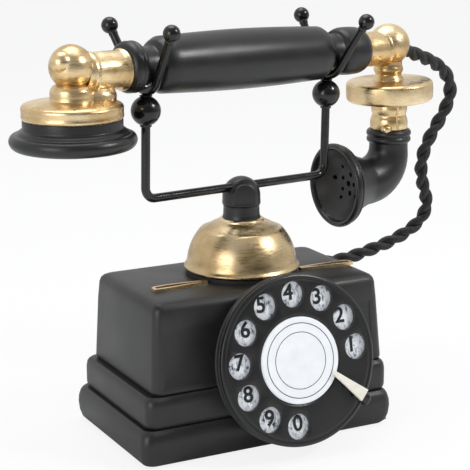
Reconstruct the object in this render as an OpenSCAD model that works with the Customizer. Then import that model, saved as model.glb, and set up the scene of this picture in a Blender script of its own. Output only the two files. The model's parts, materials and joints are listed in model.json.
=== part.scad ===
// French-style cradle telephone: a stepped case with a dial, a single gong, a sprung
// cradle of wire with two forks, and a turned handset with an ear cup and a speaking horn.
// Frame: origin on the table under the cradle post, +Z up, +X right, the dial faces -Y.

/* [Case] */
// Width of the case at its foot
foot_w = 125.5; // [121:0.5:140]
// Depth of the case at its foot
foot_d = 79; // [77:1:92]
// Height of the foot tier, from the table
foot_h = 17; // [15:1:22]
// Height of the middle step
step_h = 14; // [12:1:18]
// Height of the upper box
box_h = 41; // [38:1:50]
// Set-back of the step from the foot, each side
foot_ledge = 2.75; // [2:0.25:3.5]
// Set-back of the box from the step, each side
step_ledge = 2.25; // [1.75:0.25:4]
// Draft of the box, each side, from its bottom to its top
box_draft = 2; // [1:0.25:3]
// How far the case's middle stands to the left of the post
case_left = 3.4; // [2:0.2:4]
// How far the case's middle stands in front of the post
case_front_shift = 1; // [0:0.25:2]
// Wall of the case
wall = 3; // [2.5:0.25:3.5]
// Thickness of the case's top, which carries the gong and the post
top_wall = 4; // [3:0.5:5]
// Radius of the case's edges
edge_r = 4; // [2.5:0.5:5]
// Thickness of the bottom plate
plate_t = 3; // [2:0.5:4]
// Thickness of the felt under the bottom plate
felt_t = 1.5; // [1:0.25:2]
// Diameter of the bottom plate's screws
screw_d = 3; // [2.5:0.25:3.5]

/* [Gong and post] */
// Diameter of the gong over its lip
gong_d = 53.2; // [50:0.5:58]
// Thickness of the gong's metal
gong_wall = 1.6; // [1.2:0.1:2]
// Gap from the case's top to the gong's lip
gong_gap = 2.4; // [2.2:0.2:4]
// Diameter of the fixed post tube
post_d = 16.2; // [15:0.2:18]
// Bore of the post tube
post_bore = 12.1; // [11.5:0.1:12.5]
// Length of post tube that shows above the gong's nut
post_show = 2.9; // [2:0.1:6]
// Diameter of the moving post head
head_d = 17.4; // [16:0.2:19]
// Height of the post head
head_h = 13.6; // [13:0.2:16]
// Travel of the cradle when the handset is lifted
hook_travel = 4; // [3:0.5:5]

/* [Cradle] */
// Distance between the cradle's two uprights
cradle_w = 105; // [102:1:115]
// Diameter of the cradle wire
wire_d = 4; // [3.5:0.1:4.5]
// Height from the cradle's bar to the balls' centres
upright_h = 38.7; // [34:0.1:44]
// Diameter of the large balls
ball_d = 13.1; // [12:0.1:13.5]
// Diameter of the fork wire
fork_d = 3.8; // [3.4:0.1:4.2]
// Spread of each fork over its tips' centres
fork_w = 44.4; // [42:0.2:48]
// Lean of the fork arms from the vertical, front and back
fork_angle = 32; // [30:0.5:35]
// Outward lean of each fork, away from the other one
fork_lean = 7; // [5:0.5:8]
// Diameter of the small balls on the fork tips
tip_d = 7.4; // [7:0.1:8]
// Turn of the cradle and handset about the post, seen from above
cradle_turn = 12; // [0:1:13]

/* [Handset] */
// Diameter of the grip at its middle
grip_d = 27; // [25:0.5:29]
// Diameter of the grip at its shoulders
shoulder_d = 25; // [22:0.5:25]
// Diameter of the grip's end collars
collar_d = 22.6; // [20:0.2:23]
// Length of the end collar of the grip on the ear cup's side
collar_l = 8; // [6:0.2:9]
// Length of the end collar of the grip on the horn's side
horn_collar_l = 16; // [14:0.2:17]
// Diameter of the wire channel through the grip
channel_d = 8; // [6:0.5:10]
// Distance from the grip's end to the ear cup's axis
ear_arm = 25.4; // [24:0.1:28]
// Diameter of the ear cap's rim
ear_cap_d = 54.2; // [50:0.2:56]
// Diameter of the brass receiver shell
receiver_d = 42.8; // [40:0.2:45]
// Distance from the grip's end to the speaking horn's axis
horn_arm = 20.9; // [19.5:0.1:24]
// Diameter of the brass transmitter disc
disc_d = 42.4; // [38:0.2:46]
// Height of the transmitter disc
disc_h = 10.1; // [8:0.1:10.5]
// Diameter of the horn's tube
horn_d = 19; // [18:0.2:20]
// Diameter of the horn's mouth
mouth_d = 40.8; // [38:0.2:44]
// Turn of the horn about its stem, back from the handset's line
horn_turn = 7; // [0:1:8]
// Wall of the horn
horn_wall = 2; // [1.6:0.1:2.4]
// How far the handset can be lifted before it counts as off the phone
lift_travel = 45; // [40:1:50]

/* [Dial] */
// Diameter of the finger wheel
wheel_d = 76; // [74:0.5:78]
// Thickness of the finger wheel
wheel_t = 2.4; // [2:0.1:3]
// Diameter of a finger hole
hole_d = 11.5; // [10:0.1:12]
// Radius of the circle of finger holes
hole_ring_r = 29; // [28:0.1:30]
// Angle from one finger hole to the next
hole_pitch = 28.8; // [28:0.1:29]
// Angle of the first finger hole, counter-clockwise from the right
first_hole = 4; // [2:0.1:8]
// Diameter of the centre label
label_d = 38.2; // [34:0.2:40]
// Backward lean of the dial
dial_lean = 11.8; // [8:0.1:13]
// Height of the dial's centre above the table
dial_z = 44.1; // [43:0.1:47]
// Distance from the box's front to the dial's face
dial_reach = 19; // [18:0.1:20.5]
// Diameter of the dial's shaft
shaft_d = 6; // [5:0.1:7]

/* [Hidden] */
$fn = 64;

// Clearances: a pressed or bolted seat, a running fit, and a loose gap between bodies
fit = 0.02;
run = 0.05;
gap = 0.3;
eps = 0.01;

// Levels of the case
skirt_z = 0.6;
plate_top = felt_t + plate_t;
step_z = foot_h;
box_z = step_z + step_h;
top_z = box_z + box_h;
step_w = foot_w - 2*foot_ledge;
step_d = foot_d - 2*foot_ledge;
box_w = step_w - 2*step_ledge;
box_d = step_d - 2*step_ledge;
cover_w = box_w - 2*box_draft;
cover_d = box_d - 2*box_draft;
case_y = -case_front_shift;
cover_back = case_y + cover_d/2;
foot_back = case_y + foot_d/2;
screw_boss_r = screw_d/2 + 3;
screw_x = step_w/2 - wall - screw_boss_r + 1;
screw_y = step_d/2 - wall - screw_boss_r + 1;

// Gong, post and cradle levels
lip_h = 2.5;
lip_out = 1.3;
dome_r = gong_d/2 - lip_out;
dome_z = top_z + gong_gap + 1;
crown_r = 10.5;
crown_z = dome_z + sqrt(dome_r*dome_r - crown_r*crown_r);
spacer_top = crown_z - gong_wall;
spacer_r = min(crown_r - 0.7,
    sqrt(pow(dome_r - gong_wall, 2) - pow(spacer_top - dome_z, 2)) - gap);
nut_h = 2;
tube_top = crown_z + nut_h + post_show;
tube_bottom = top_z - 16;
tube_floor = 3;
rod_d = 6;
stud_d = 8;
stud_h = 5;
piston_h = 12;
seam = 0.2;
head_z = tube_top + seam;
wire_z = head_z + stud_h + wire_d/2 + 2;
ball_z = wire_z + upright_h;
bend_r = 5;
half_w = cradle_w/2;
fork_z = ball_z + ball_d/2 + fork_d/2;
peg_d = 3;
peg_l = fork_d/2 + 4;

// The fork's arc and arms; the handset's axis sits where its waist lies just inside the arms
fork_bend = 10;
arm_y = fork_bend*cos(fork_angle);
arm_z = fork_bend*(1 - sin(fork_angle));
arm_l = (fork_w/2 - arm_y)/sin(fork_angle);
seat_rise = 10.85;
axis_z = fork_z + seat_rise;
seat_dist = arm_y*cos(fork_angle) + (seat_rise - arm_z)*sin(fork_angle);
waist_r = seat_dist - fork_d/2 - gap;
// Where the arms touch the waist, and how far outward the leaning fork stands there
seat_x = half_w + 8*tan(fork_lean);
waist_half = fork_d/2 + 1.7;
neck_x = seat_x + waist_half;
ear_end = neck_x + collar_l;
horn_end = neck_x + horn_collar_l;
ear_reach = ear_end + ear_arm;
horn_reach = horn_end + horn_arm;

// Switch, ringer and dial
leaf_z = tube_bottom - 6;
rod_end = leaf_z + gap;
ringer_x = dome_r - gong_wall - 6.2;
coil_span = 9.5;
coil_r = 7.5;
pivot_z = top_z - 27;
clapper_z = top_z + 10;
clapper_r = 2.5;
clapper_swing = 3.5;
pin_d = 3;
wheel_r = wheel_d/2;
case_front = -wheel_t - 0.5;
case_back = -9;
plate_front = -wheel_t - 1;
plate_back = plate_front - 1;
mount_r = 24;
mount_back = -26;
shaft_end = -31;
shaft_r = shaft_d/2;
stop_angle = -29;

// Handset levels
ear_z = axis_z + 3.4;
mouth_z = axis_z - 0.5;
receiver_top = axis_z - 11.5;
cap_top = receiver_top - 11;
cap_h = 8.5;
shell_h = 8;
disc_top = mouth_z - 18.3;
stem_h = 14;
stem_top = disc_top - disc_h;
ring_h = 6.5;
ring_top = stem_top - stem_h;
horn_top = ring_top - ring_h;
horn_bend = 14.5;
horn_z = 104.3;
mouth_x = half_w + ball_d/2 + 2.5;
gland_x = horn_reach + 5;
gland_z = mouth_z - 2.5;
gland_dip = 22;

// Cord: from the gland on the case's back, behind the case, up to the handset's elbow
cord_d = 7;
cord_gland_x = 38;
cord_gland_z = 56;
cord_gland_y = 42;
CORD = [[38, 42, 56], [38, 44.5, 56], [38.9, 49.6, 55.8], [41.9, 54.5, 55.4], [47, 58.3, 54.9],
    [53, 59.6, 54.3], [61, 59.2, 53.7], [70, 58.2, 53.2], [78, 57, 53], [85, 55.6, 53.4],
    [94, 54, 55], [103, 52, 57.7], [112, 50, 60.8], [120, 48.2, 64.6], [126.5, 46.4, 69.2],
    [130.5, 44.4, 75], [131, 42.4, 81.5], [128.6, 40.6, 88], [125.6, 39, 95], [124.2, 38, 102],
    [124.6, 37, 109], [127.2, 35.8, 117], [131.6, 34.4, 125.6], [134.8, 33, 132.6],
    [136.4, 31.8, 139.5], [135.4, 31, 145.3], [132.4, 30, 150.4], [127.9, 28.6, 154.2],
    [121.9, 26.8, 157.6], [115.4, 25, 160.3], [108.8, 23.1, 162.7], [104.5, 22.2, 164.4]];

// Blocks with soft vertical edges and soft top edges
module tier(w0, d0, w1, d1, z0, z1, r) {
    hull() {
        for (sx = [-1, 1], sy = [-1, 1]) {
            translate([sx*(w0/2 - r), sy*(d0/2 - r), z0]) cylinder(r=r, h=0.1, $fn=32);
            translate([sx*(w1/2 - r), sy*(d1/2 - r), z1 - r]) sphere(r=r, $fn=32);
        }
    }
}

// A box given by its width, depth and two levels, centred on the axis
module block(w, d, z0, z1) {
    translate([-w/2, -d/2, z0]) cube([w, d, z1 - z0]);
}

module tube(r_out, r_in, z0, z1) {
    translate([0, 0, z0]) difference() {
        cylinder(r=r_out, h=z1 - z0);
        translate([0, 0, -1]) cylinder(r=r_in, h=z1 - z0 + 2);
    }
}

// Carries its child to the middle of the case
module at_case() {
    translate([-case_left, case_y, 0]) children();
}

// The dial's own frame: +Z out of its face, +Y up its face
module at_dial() {
    translate([0, case_y - box_d/2 - dial_reach, dial_z]) rotate([90 - dial_lean, 0, 0]) children();
}

// The cradle's own frame, turned about the post; +X along the bar and the handset
module at_cradle() {
    rotate([0, 0, cradle_turn]) children();
}

// A solid turned about the handset's axis, from points of [place along X, radius]
module turned(points) {
    translate([0, 0, axis_z]) rotate([0, 90, 0]) rotate_extrude()
        polygon([for (p = points) [p[1], p[0]]]);
}

// A solid turned about a vertical axis, from points of [radius, level]
module spun(points) {
    rotate_extrude() polygon(points);
}

// Points of an arc that bulges out to r + rise between two levels
function bulge(r, rise, z0, z1, n=8) =
    [for (i = [0:n]) [r + rise*sin(180*i/n), z0 + (z1 - z0)*i/n]];

// ---------------------------------------------------------------- case

module housing() {
    color([0.13, 0.13, 0.13]) difference() {
        at_case() union() {
            tier(foot_w - 1, foot_d - 1, foot_w, foot_d, skirt_z, foot_h, edge_r);
            tier(step_w, step_d, step_w, step_d, skirt_z + 5, box_z, edge_r);
            tier(box_w, box_d, cover_w, cover_d, skirt_z + 10, top_z, edge_r);
        }
        at_case() difference() {
            union() {
                block(foot_w - 2*wall, foot_d - 2*wall, -1, foot_h - wall);
                block(step_w - 2*wall, step_d - 2*wall, -1, box_z - wall);
                block(cover_w - 2*wall, cover_d - 2*wall, -1, top_z - top_wall);
            }
            for (sx = [-1, 1], sy = [-1, 1])
                translate([sx*screw_x, sy*screw_y, plate_top])
                    cylinder(r=screw_boss_r, h=box_z - plate_top);
        }
        at_case() for (sx = [-1, 1], sy = [-1, 1])
            translate([sx*screw_x, sy*screw_y, 0]) cylinder(d=screw_d + 2*fit, h=plate_top + 10);
        translate([0, 0, top_z - top_wall - 1]) cylinder(d=post_d + 2*fit, h=top_wall + 3);
        translate([ringer_x - 5, -3, top_z - top_wall - 1]) cube([10, 6, top_wall + 3]);
        at_dial() translate([0, 0, mount_back - 4]) cylinder(r=mount_r + fit, h=-mount_back);
        translate([cord_gland_x, foot_back + 1, cord_gland_z]) rotate([90, 0, 0])
            cylinder(r=gland_r + fit, h=foot_d/2 - 15);
        translate([line_x, foot_back + 1, line_z]) rotate([90, 0, 0])
            cylinder(r=grommet_r + fit, h=foot_d/2 - 15);
    }
}

gland_r = 5;
line_x = -30;
line_z = (plate_top + foot_h - wall)/2;
line_bore = 5;
grommet_flange_r = (foot_h - wall - plate_top)/2 - 0.2;
grommet_r = grommet_flange_r - 1;

module base_plate() {
    color([0.25, 0.25, 0.26]) at_case() difference() {
        block(foot_w - 2*wall - 2*fit, foot_d - 2*wall - 2*fit, felt_t, plate_top);
        for (sx = [-1, 1], sy = [-1, 1])
            translate([sx*screw_x, sy*screw_y, 0]) cylinder(d=screw_d + 2*fit, h=plate_top + 1);
    }
}

module base_felt() {
    color([0.1, 0.22, 0.15]) at_case()
        block(2*screw_x - 2*screw_boss_r, foot_d - 4*wall, 0, felt_t);
}

module base_screws() {
    color([0.6, 0.6, 0.58]) at_case() for (sx = [-1, 1], sy = [-1, 1])
        translate([sx*screw_x, sy*screw_y, 0]) {
            translate([0, 0, 0.4]) cylinder(r=screw_d/2 + 1.3, h=felt_t - 0.4);
            translate([0, 0, 0.4]) cylinder(d=screw_d, h=plate_top + 8);
        }
}

// One leaf-shaped loop of trim each side of the gong, along the case's top
module top_trim() {
    trim_in = gong_d/2 + 0.5;
    trim_out = cover_w/2 - case_left - 1.35;
    color([0.72, 0.56, 0.3]) for (s = [-1, 1])
        translate([0, trim_y, top_z]) linear_extrude(0.8) difference() {
            polygon([[s*trim_in, -1.2], [s*trim_in, 1.2], [s*(trim_out - 6), 2.4],
                [s*trim_out, 1.8], [s*trim_out, -3.4], [s*(trim_out - 6), -3]]);
            polygon([[s*(trim_in + 2), -0.4], [s*(trim_in + 2), 0.3],
                [s*(trim_out - 7), 1.2], [s*(trim_out - 5), -0.4], [s*(trim_out - 7), -1.8]]);
        }
}

trim_y = -12;

// ---------------------------------------------------------------- gong and post

seat_w = 2.1;

module gong_seat() {
    seat_r = gong_d/2 - 1;
    color([0.09, 0.09, 0.09]) tube(seat_r, seat_r - seat_w, top_z, top_z + gong_gap - 0.6);
}

module gong_spacer() {
    color([0.5, 0.5, 0.5]) tube(spacer_r, post_d/2 + fit, top_z, spacer_top);
}

module gong() {
    inner_r = dome_r - gong_wall;
    color([0.75, 0.58, 0.32]) difference() {
        union() {
            translate([0, 0, dome_z]) rotate_extrude() intersection() {
                circle(r=dome_r);
                translate([0, -1]) square([dome_r + 1, crown_z - dome_z + 1]);
            }
            spun([[dome_r - 1, top_z + gong_gap], [gong_d/2, top_z + gong_gap],
                [gong_d/2, top_z + gong_gap + 1.2], [dome_r, top_z + gong_gap + lip_h + 1],
                [dome_r - 1, top_z + gong_gap + lip_h + 1]]);
        }
        translate([0, 0, dome_z]) rotate_extrude() intersection() {
            circle(r=inner_r);
            translate([0, 0]) square([dome_r + 1, spacer_top - dome_z]);
        }
        translate([0, 0, top_z]) cylinder(r=inner_r, h=dome_z - top_z);
        translate([0, 0, dome_z]) cylinder(r=post_d/2 + fit, h=dome_r + 5);
    }
}

module gong_nut() {
    color([0.75, 0.58, 0.32]) difference() {
        spun([[0, crown_z], [crown_r - 0.5, crown_z], [crown_r - 0.7, crown_z + nut_h*0.6],
            [post_d/2 + 0.6, crown_z + nut_h], [0, crown_z + nut_h]]);
        translate([0, 0, crown_z - 1]) cylinder(r=post_d/2 + fit, h=nut_h + 2);
    }
}

module post_tube() {
    color([0.1, 0.1, 0.1]) translate([0, 0, tube_bottom]) difference() {
        cylinder(d=post_d, h=tube_top - tube_bottom);
        translate([0, 0, tube_floor]) cylinder(d=post_bore, h=tube_top - tube_bottom);
        translate([0, 0, -1]) cylinder(d=rod_d + 2*run, h=tube_floor + 2);
    }
}

module post_nut() {
    color([0.6, 0.6, 0.58]) translate([0, 0, top_z - top_wall - 4]) difference() {
        cylinder(r=post_d/2 + 3.4, h=4, $fn=6);
        translate([0, 0, -1]) cylinder(r=post_d/2 + fit, h=6);
    }
}

// A ring of points around one station of a helix or a cord
function ring(c, side, up, r, n) = [for (k = [0:n - 1])
    c + side*r*cos(360*k/n) + up*r*sin(360*k/n)];

function unit(v) = v/norm(v);

// Faces of a closed tube of m rings with n sides each
function tube_faces(m, n) = concat(
    [[for (k = [0:n - 1]) n - 1 - k]],
    [for (i = [0:m - 2], k = [0:n - 1])
        [i*n + k, i*n + (k + 1)%n, (i + 1)*n + (k + 1)%n, (i + 1)*n + k]],
    [[for (k = [0:n - 1]) (m - 1)*n + k]]);

spring_turns = 8;
spring_wire = 1.2;
spring_r = 4.6;
spring_bottom = tube_bottom + tube_floor + gap + spring_wire/2;
spring_top = tube_top - piston_h - gap - spring_wire/2;

module hook_spring() {
    steps = spring_turns*12;
    sides = 6;
    rings = [for (i = [0:steps])
        let (a = 30*i, out = [cos(a), sin(a), 0],
             c = out*spring_r + [0, 0, spring_bottom + (spring_top - spring_bottom)*i/steps])
        ring(c, -out, [0, 0, 1], spring_wire/2, sides)];
    color([0.7, 0.7, 0.7]) polyhedron(points=[for (r = rings) each r],
        faces=tube_faces(steps + 1, sides), convexity=10);
}

// ---------------------------------------------------------------- inside the case

switch_x = -22;

module switch_bracket() {
    color([0.6, 0.6, 0.58]) {
        translate([switch_x - 6, -5, plate_top]) cube([12, 10, 2]);
        translate([switch_x - 4, -4, plate_top]) cube([2, 8, leaf_z - 6 - plate_top]);
        translate([switch_x - 4, -4, leaf_z - 8]) cube([9, 8, 2]);
    }
}

module switch_leaves() {
    color([0.72, 0.56, 0.3]) {
        translate([switch_x - 4, -3, leaf_z - 6]) cube([8, 6, 8]);
        for (z = [leaf_z - 0.6, leaf_z - 3.4]) translate([switch_x, -2.5, z]) cube([-switch_x + 1, 5, 0.6]);
    }
}

module ringer_yoke() {
    yoke_l = 2*(coil_span + coil_r);
    color([0.6, 0.6, 0.58]) translate([ringer_x, 0, 0]) difference() {
        union() {
            block(yoke_l, 2*coil_r + 1, plate_top, plate_top + 5);
            for (s = [-1, 1]) {
                translate([s*coil_span, 0, plate_top]) cylinder(r=3, h=core_top - plate_top);
                translate([-4, s*(coil_r + 1.7) - 1.2, plate_top])
                    cube([8, 2.4, pivot_z + 4 - plate_top]);
            }
        }
        translate([0, coil_r + 5, pivot_z]) rotate([90, 0, 0])
            cylinder(d=pin_d + 2*fit, h=2*coil_r + 10);
    }
}

core_top = pivot_z - 2.4;

module ringer_coils() {
    color([0.5, 0.2, 0.1]) for (s = [-1, 1]) translate([ringer_x + s*coil_span, 0, 0]) {
        tube(coil_r, 3 + fit, plate_top + 5, plate_top + 6.5);
        tube(coil_r - 1, 3 + fit, plate_top + 6.5, core_top - 6);
        tube(coil_r, 3 + fit, core_top - 6, core_top - 4.5);
    }
}

module armature_pin() {
    pin_l = 2*coil_r + 8;
    color([0.7, 0.7, 0.7]) translate([ringer_x, pin_l/2, pivot_z]) rotate([90, 0, 0])
        cylinder(d=pin_d, h=pin_l);
}

// Rocking armature with the clapper's rod and ball, which reaches up into the gong
module clapper() {
    color([0.6, 0.6, 0.58]) translate([ringer_x, 0, 0]) difference() {
        union() {
            block(2*coil_span + 7, 7, pivot_z - 1.2, pivot_z + 1.2);
            translate([0, coil_r - 0.5, pivot_z]) rotate([90, 0, 0])
                cylinder(r=pin_d/2 + 1.8, h=2*coil_r - 1);
            translate([0, 0, pivot_z + 2]) cylinder(r=0.9, h=clapper_z - pivot_z - 2);
            translate([0, 0, clapper_z]) sphere(r=clapper_r);
        }
        translate([0, coil_r + 1, pivot_z]) rotate([90, 0, 0])
            cylinder(d=pin_d + 2*run, h=2*coil_r + 2);
    }
}

core_w = 16;
core_d = 34;
core_h = 24;
core_bar = 5;
winding_w = 18;
winding_d = 20;
core_x = -case_left - cover_w/2 + wall + core_w/2 + 1;

module induction_coil() {
    color([0.35, 0.3, 0.25]) translate([core_x, 0, 0]) {
        difference() {
            block(core_w, core_d, plate_top, plate_top + core_h);
            block(winding_w, winding_d, plate_top + core_bar, plate_top + core_h - core_bar);
        }
        block(winding_w, winding_d, plate_top + core_bar, plate_top + core_h - core_bar);
    }
}

can_w = 22;
can_d = 9;
can_h = 20;
lug_r = 1.2;
lug_h = 3;

module condenser() {
    color([0.65, 0.65, 0.67]) translate([line_x, cover_back - wall - can_d/2 + 1.5, 0]) {
        block(can_w, can_d, plate_top, plate_top + can_h);
        for (s = [-1, 1]) translate([s*can_w/4, 0, plate_top + can_h]) cylinder(r=lug_r, h=lug_h);
    }
}

terminal_x = 20;
terminal_y = 22;
terminal_pitch = 8;
terminal_n = 4;

module terminal_block() {
    color([0.35, 0.16, 0.08]) translate([terminal_x, terminal_y, 0]) difference() {
        block(terminal_n*terminal_pitch + 2, 11, plate_top, plate_top + 7);
        for (i = [0:terminal_n - 1])
            translate([terminal_pitch*(i - (terminal_n - 1)/2), 0, plate_top + 2])
                cylinder(r=1.5 + fit, h=6);
    }
}

module terminal_screws() {
    color([0.72, 0.56, 0.3]) for (i = [0:terminal_n - 1])
        translate([terminal_x + terminal_pitch*(i - (terminal_n - 1)/2), terminal_y, plate_top + 3]) {
            cylinder(r=1.5, h=5);
            translate([0, 0, 4]) cylinder(r=2.8, h=1.6);
        }
}

// ---------------------------------------------------------------- dial

// The cup that carries the dial: it stands through the case's front and holds the shaft
module dial_mount() {
    color([0.1, 0.1, 0.1]) at_dial() difference() {
        union() {
            translate([0, 0, mount_back]) cylinder(r=mount_r, h=case_back - mount_back);
            translate([0, 0, case_back - 2]) cylinder(r=mount_r + 6, h=2);
        }
        translate([0, 0, mount_back + 2]) cylinder(r=mount_r - 3, h=-mount_back);
        translate([0, 0, mount_back - 1]) cylinder(d=shaft_d + 2*run, h=4);
    }
}

module dial_case() {
    color([0.1, 0.1, 0.1]) at_dial() difference() {
        translate([0, 0, case_back]) cylinder(r=wheel_r, h=case_front - case_back);
        difference() {
            translate([0, 0, case_back + 1.6]) cylinder(r=wheel_r - 1.8, h=9);
            cylinder(r=12, h=2*(-plate_back), center=true);
        }
        translate([0, 0, plate_back]) cylinder(r=13, h=9);
        translate([0, 0, case_back - 1]) cylinder(d=shaft_d + 2*run, h=9);
    }
}

module number_plate() {
    color([0.85, 0.88, 0.92]) at_dial() tube(wheel_r - 1.8 - fit, shaft_r + 4, plate_back, plate_front);
}

module finger_stop() {
    inner_x = label_d/2 - 3;
    outer_x = hole_ring_r + 5;
    color([0.9, 0.87, 0.78]) at_dial() rotate([0, 0, stop_angle]) {
        translate([0, 0, 1]) linear_extrude(1.8)
            polygon([[inner_x, -1.4], [inner_x, 1.4], [outer_x, 3], [outer_x, -3]]);
        translate([outer_x - 1, -2.6, 1]) cube([wheel_r + 3 - outer_x, 5.2, 1.8]);
        difference() {
            translate([wheel_r - 2, -2.6, case_back]) cube([4.6, 5.2, 2.8 - case_back]);
            translate([0, 0, case_front]) cylinder(r=wheel_r + 0.6, h=1 - case_front);
            translate([0, 0, case_back - 1]) cylinder(r=wheel_r + fit, h=case_front - case_back + 1 + eps);
        }
    }
}

// The coiled return spring, as the closed pack of its turns
module dial_spring() {
    color([0.5, 0.5, 0.52]) at_dial() tube(mount_r - 6, shaft_r + 4, mount_back + 2, mount_back + 9);
}

module pulse_contacts() {
    color([0.72, 0.56, 0.3]) at_dial() {
        translate([cam_r + 2.4, -4, shaft_end]) cube([6, 8, mount_back - shaft_end]);
        translate([cam_r + gap, -2, shaft_end + 1]) cube([2.6, 4, 2]);
    }
}

cam_r = 7;

module finger_wheel() {
    color([0.1, 0.1, 0.1]) at_dial() difference() {
        union() {
            translate([0, 0, -wheel_t]) cylinder(r=wheel_r, h=wheel_t);
            translate([0, 0, plate_back + gap]) cylinder(r=shaft_r + 3.5, h=-wheel_t - plate_back);
        }
        for (i = [0:9]) rotate([0, 0, first_hole + i*hole_pitch])
            translate([hole_ring_r, 0, -wheel_t - 3]) cylinder(d=hole_d, h=wheel_t + 6);
        translate([0, 0, -wheel_t - 6]) cylinder(r=shaft_r + fit, h=wheel_t + 9);
    }
}

module dial_label() {
    color([0.94, 0.94, 0.92]) at_dial() cylinder(d=label_d, h=0.7);
}

module dial_shaft() {
    color([0.7, 0.7, 0.7]) at_dial() translate([0, 0, shaft_end]) cylinder(r=shaft_r, h=-shaft_end);
}

// Ten blunt teeth break the circuit as the dial runs back
module pulse_cam() {
    color([0.35, 0.16, 0.08]) at_dial() difference() {
        translate([0, 0, shaft_end + 1]) cylinder(r=cam_r, h=2.5);
        translate([0, 0, shaft_end]) cylinder(r=shaft_r + fit, h=5);
        for (i = [0:9]) rotate([0, 0, 90 + i*20]) translate([cam_r + 0.3, 0, shaft_end])
            cylinder(r=1, h=5);
    }
}

// ---------------------------------------------------------------- cord outlets

module cord_gland() {
    wall_y = cover_back - wall;
    color([0.08, 0.08, 0.08]) translate([cord_gland_x, 0, cord_gland_z]) rotate([-90, 0, 0]) difference() {
        union() {
            translate([0, 0, wall_y - 2]) cylinder(r=gland_r + 2, h=2);
            translate([0, 0, wall_y - 1]) cylinder(r=gland_r, h=cord_gland_y - wall_y + 1);
        }
        translate([0, 0, wall_y - 3]) cylinder(d=cord_d - 2, h=cord_gland_y - wall_y + 4);
    }
}

module line_grommet() {
    wall_y = foot_back - wall;
    color([0.08, 0.08, 0.08]) translate([line_x, 0, line_z]) rotate([-90, 0, 0]) difference() {
        union() {
            translate([0, 0, wall_y - 1.5]) cylinder(r=grommet_r, h=wall + 3);
            translate([0, 0, wall_y - 1.5]) cylinder(r=grommet_flange_r, h=1.4);
            translate([0, 0, foot_back + 0.1]) cylinder(r=grommet_flange_r, h=1.4);
        }
        translate([0, 0, wall_y - 3]) cylinder(d=line_bore, h=wall + 8);
    }
}

// ---------------------------------------------------------------- cradle

module hook_plunger() {
    color([0.6, 0.6, 0.58]) {
        translate([0, 0, tube_top - piston_h]) cylinder(d=post_bore - 2*run, h=piston_h + seam);
        translate([0, 0, rod_end]) cylinder(d=rod_d, h=tube_top - piston_h - rod_end + eps);
        translate([0, 0, head_z - eps]) cylinder(d=stud_d, h=stud_h + eps);
    }
}

module post_head() {
    head_r = head_d/2;
    color([0.08, 0.08, 0.08]) at_cradle() difference() {
        union() {
            translate([0, 0, head_z]) rotate_extrude() {
                square([head_r, head_h - head_r]);
                translate([0, head_h - head_r]) intersection() {
                    circle(r=head_r);
                    square(head_r);
                }
            }
            translate([0, -head_r + 1, wire_z - 0.5]) rotate([90, 0, 0]) cylinder(r=4.5, h=2);
            translate([-4.5, -head_r - 1, head_z]) cube([9, 2, wire_z - head_z]);
        }
        translate([0, 0, head_z - 1]) cylinder(d=stud_d + 2*fit, h=stud_h + 1.2);
        translate([-head_r - 1, 0, wire_z]) rotate([0, 90, 0]) cylinder(r=wire_d/2 + fit, h=2*head_r + 2);
    }
}

// The bar, its two bends and its two uprights, bent from one wire
module cradle_wire() {
    r = wire_d/2;
    color([0.05, 0.05, 0.05]) at_cradle() {
        translate([-half_w + bend_r, 0, wire_z]) rotate([0, 90, 0])
            cylinder(r=r, h=2*(half_w - bend_r));
        for (s = [0, 180]) rotate([0, 0, s]) translate([half_w - bend_r, 0, wire_z + bend_r])
            rotate([90, 0, 0]) rotate([0, 0, -90]) rotate_extrude(angle=90)
                translate([bend_r, 0]) circle(r=r);
        for (s = [-1, 1]) translate([s*half_w, 0, wire_z + bend_r])
            cylinder(r=r, h=upright_h - bend_r - ball_d/2 + 4);
    }
}

module big_ball(s) {
    color([0.04, 0.04, 0.04]) difference() {
        at_cradle() translate([s*half_w, 0, ball_z]) difference() {
            sphere(d=ball_d);
            translate([0, 0, -ball_d]) cylinder(r=wire_d/2 + fit, h=ball_d/2 + 4 + fit);
        }
        at_fork(s) translate([0, 0, -peg_l - fit]) cylinder(d=peg_d + 2*fit, h=peg_l + 2);
    }
}

module ball_left() { big_ball(-1); }
module ball_right() { big_ball(1); }

// Carries its child from the fork's own plane to its place above a ball
module at_fork(s) {
    at_cradle() translate([s*half_w, 0, fork_z]) rotate([0, s*fork_lean, 0]) children();
}

// A U of wire with straight arms, and a short stud into the ball below
module fork(s) {
    r = fork_d/2;
    color([0.05, 0.05, 0.05]) {
        at_fork(s) {
            translate([0, 0, fork_bend]) rotate([90, 0, 90]) rotate([0, 0, 180 + fork_angle])
                rotate_extrude(angle=180 - 2*fork_angle) translate([fork_bend, 0]) circle(r=r + fit);
            for (side = [-1, 1]) translate([0, side*arm_y, arm_z])
                rotate([-side*fork_angle, 0, 0]) translate([0, 0, -0.2]) cylinder(r=r, h=arm_l - 1.8);
            translate([0, 0, -peg_l]) cylinder(d=peg_d, h=peg_l - 0.5);
        }
    }
}

module fork_left() { fork(-1); }
module fork_right() { fork(1); }

// Balls on the four fork tips, drilled for the wire
module fork_tips() {
    color([0.04, 0.04, 0.04]) for (s = [-1, 1], side = [-1, 1])
        at_fork(s) translate([0, side*arm_y, arm_z]) rotate([-side*fork_angle, 0, 0])
            translate([0, 0, arm_l]) difference() {
                sphere(d=tip_d);
                translate([0, 0, -tip_d]) cylinder(r=fork_d/2 + fit, h=tip_d - 2 + fit);
            }
}

// ---------------------------------------------------------------- handset

sleeve_r = 8.2;
knuckle_cut = 6;

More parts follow.
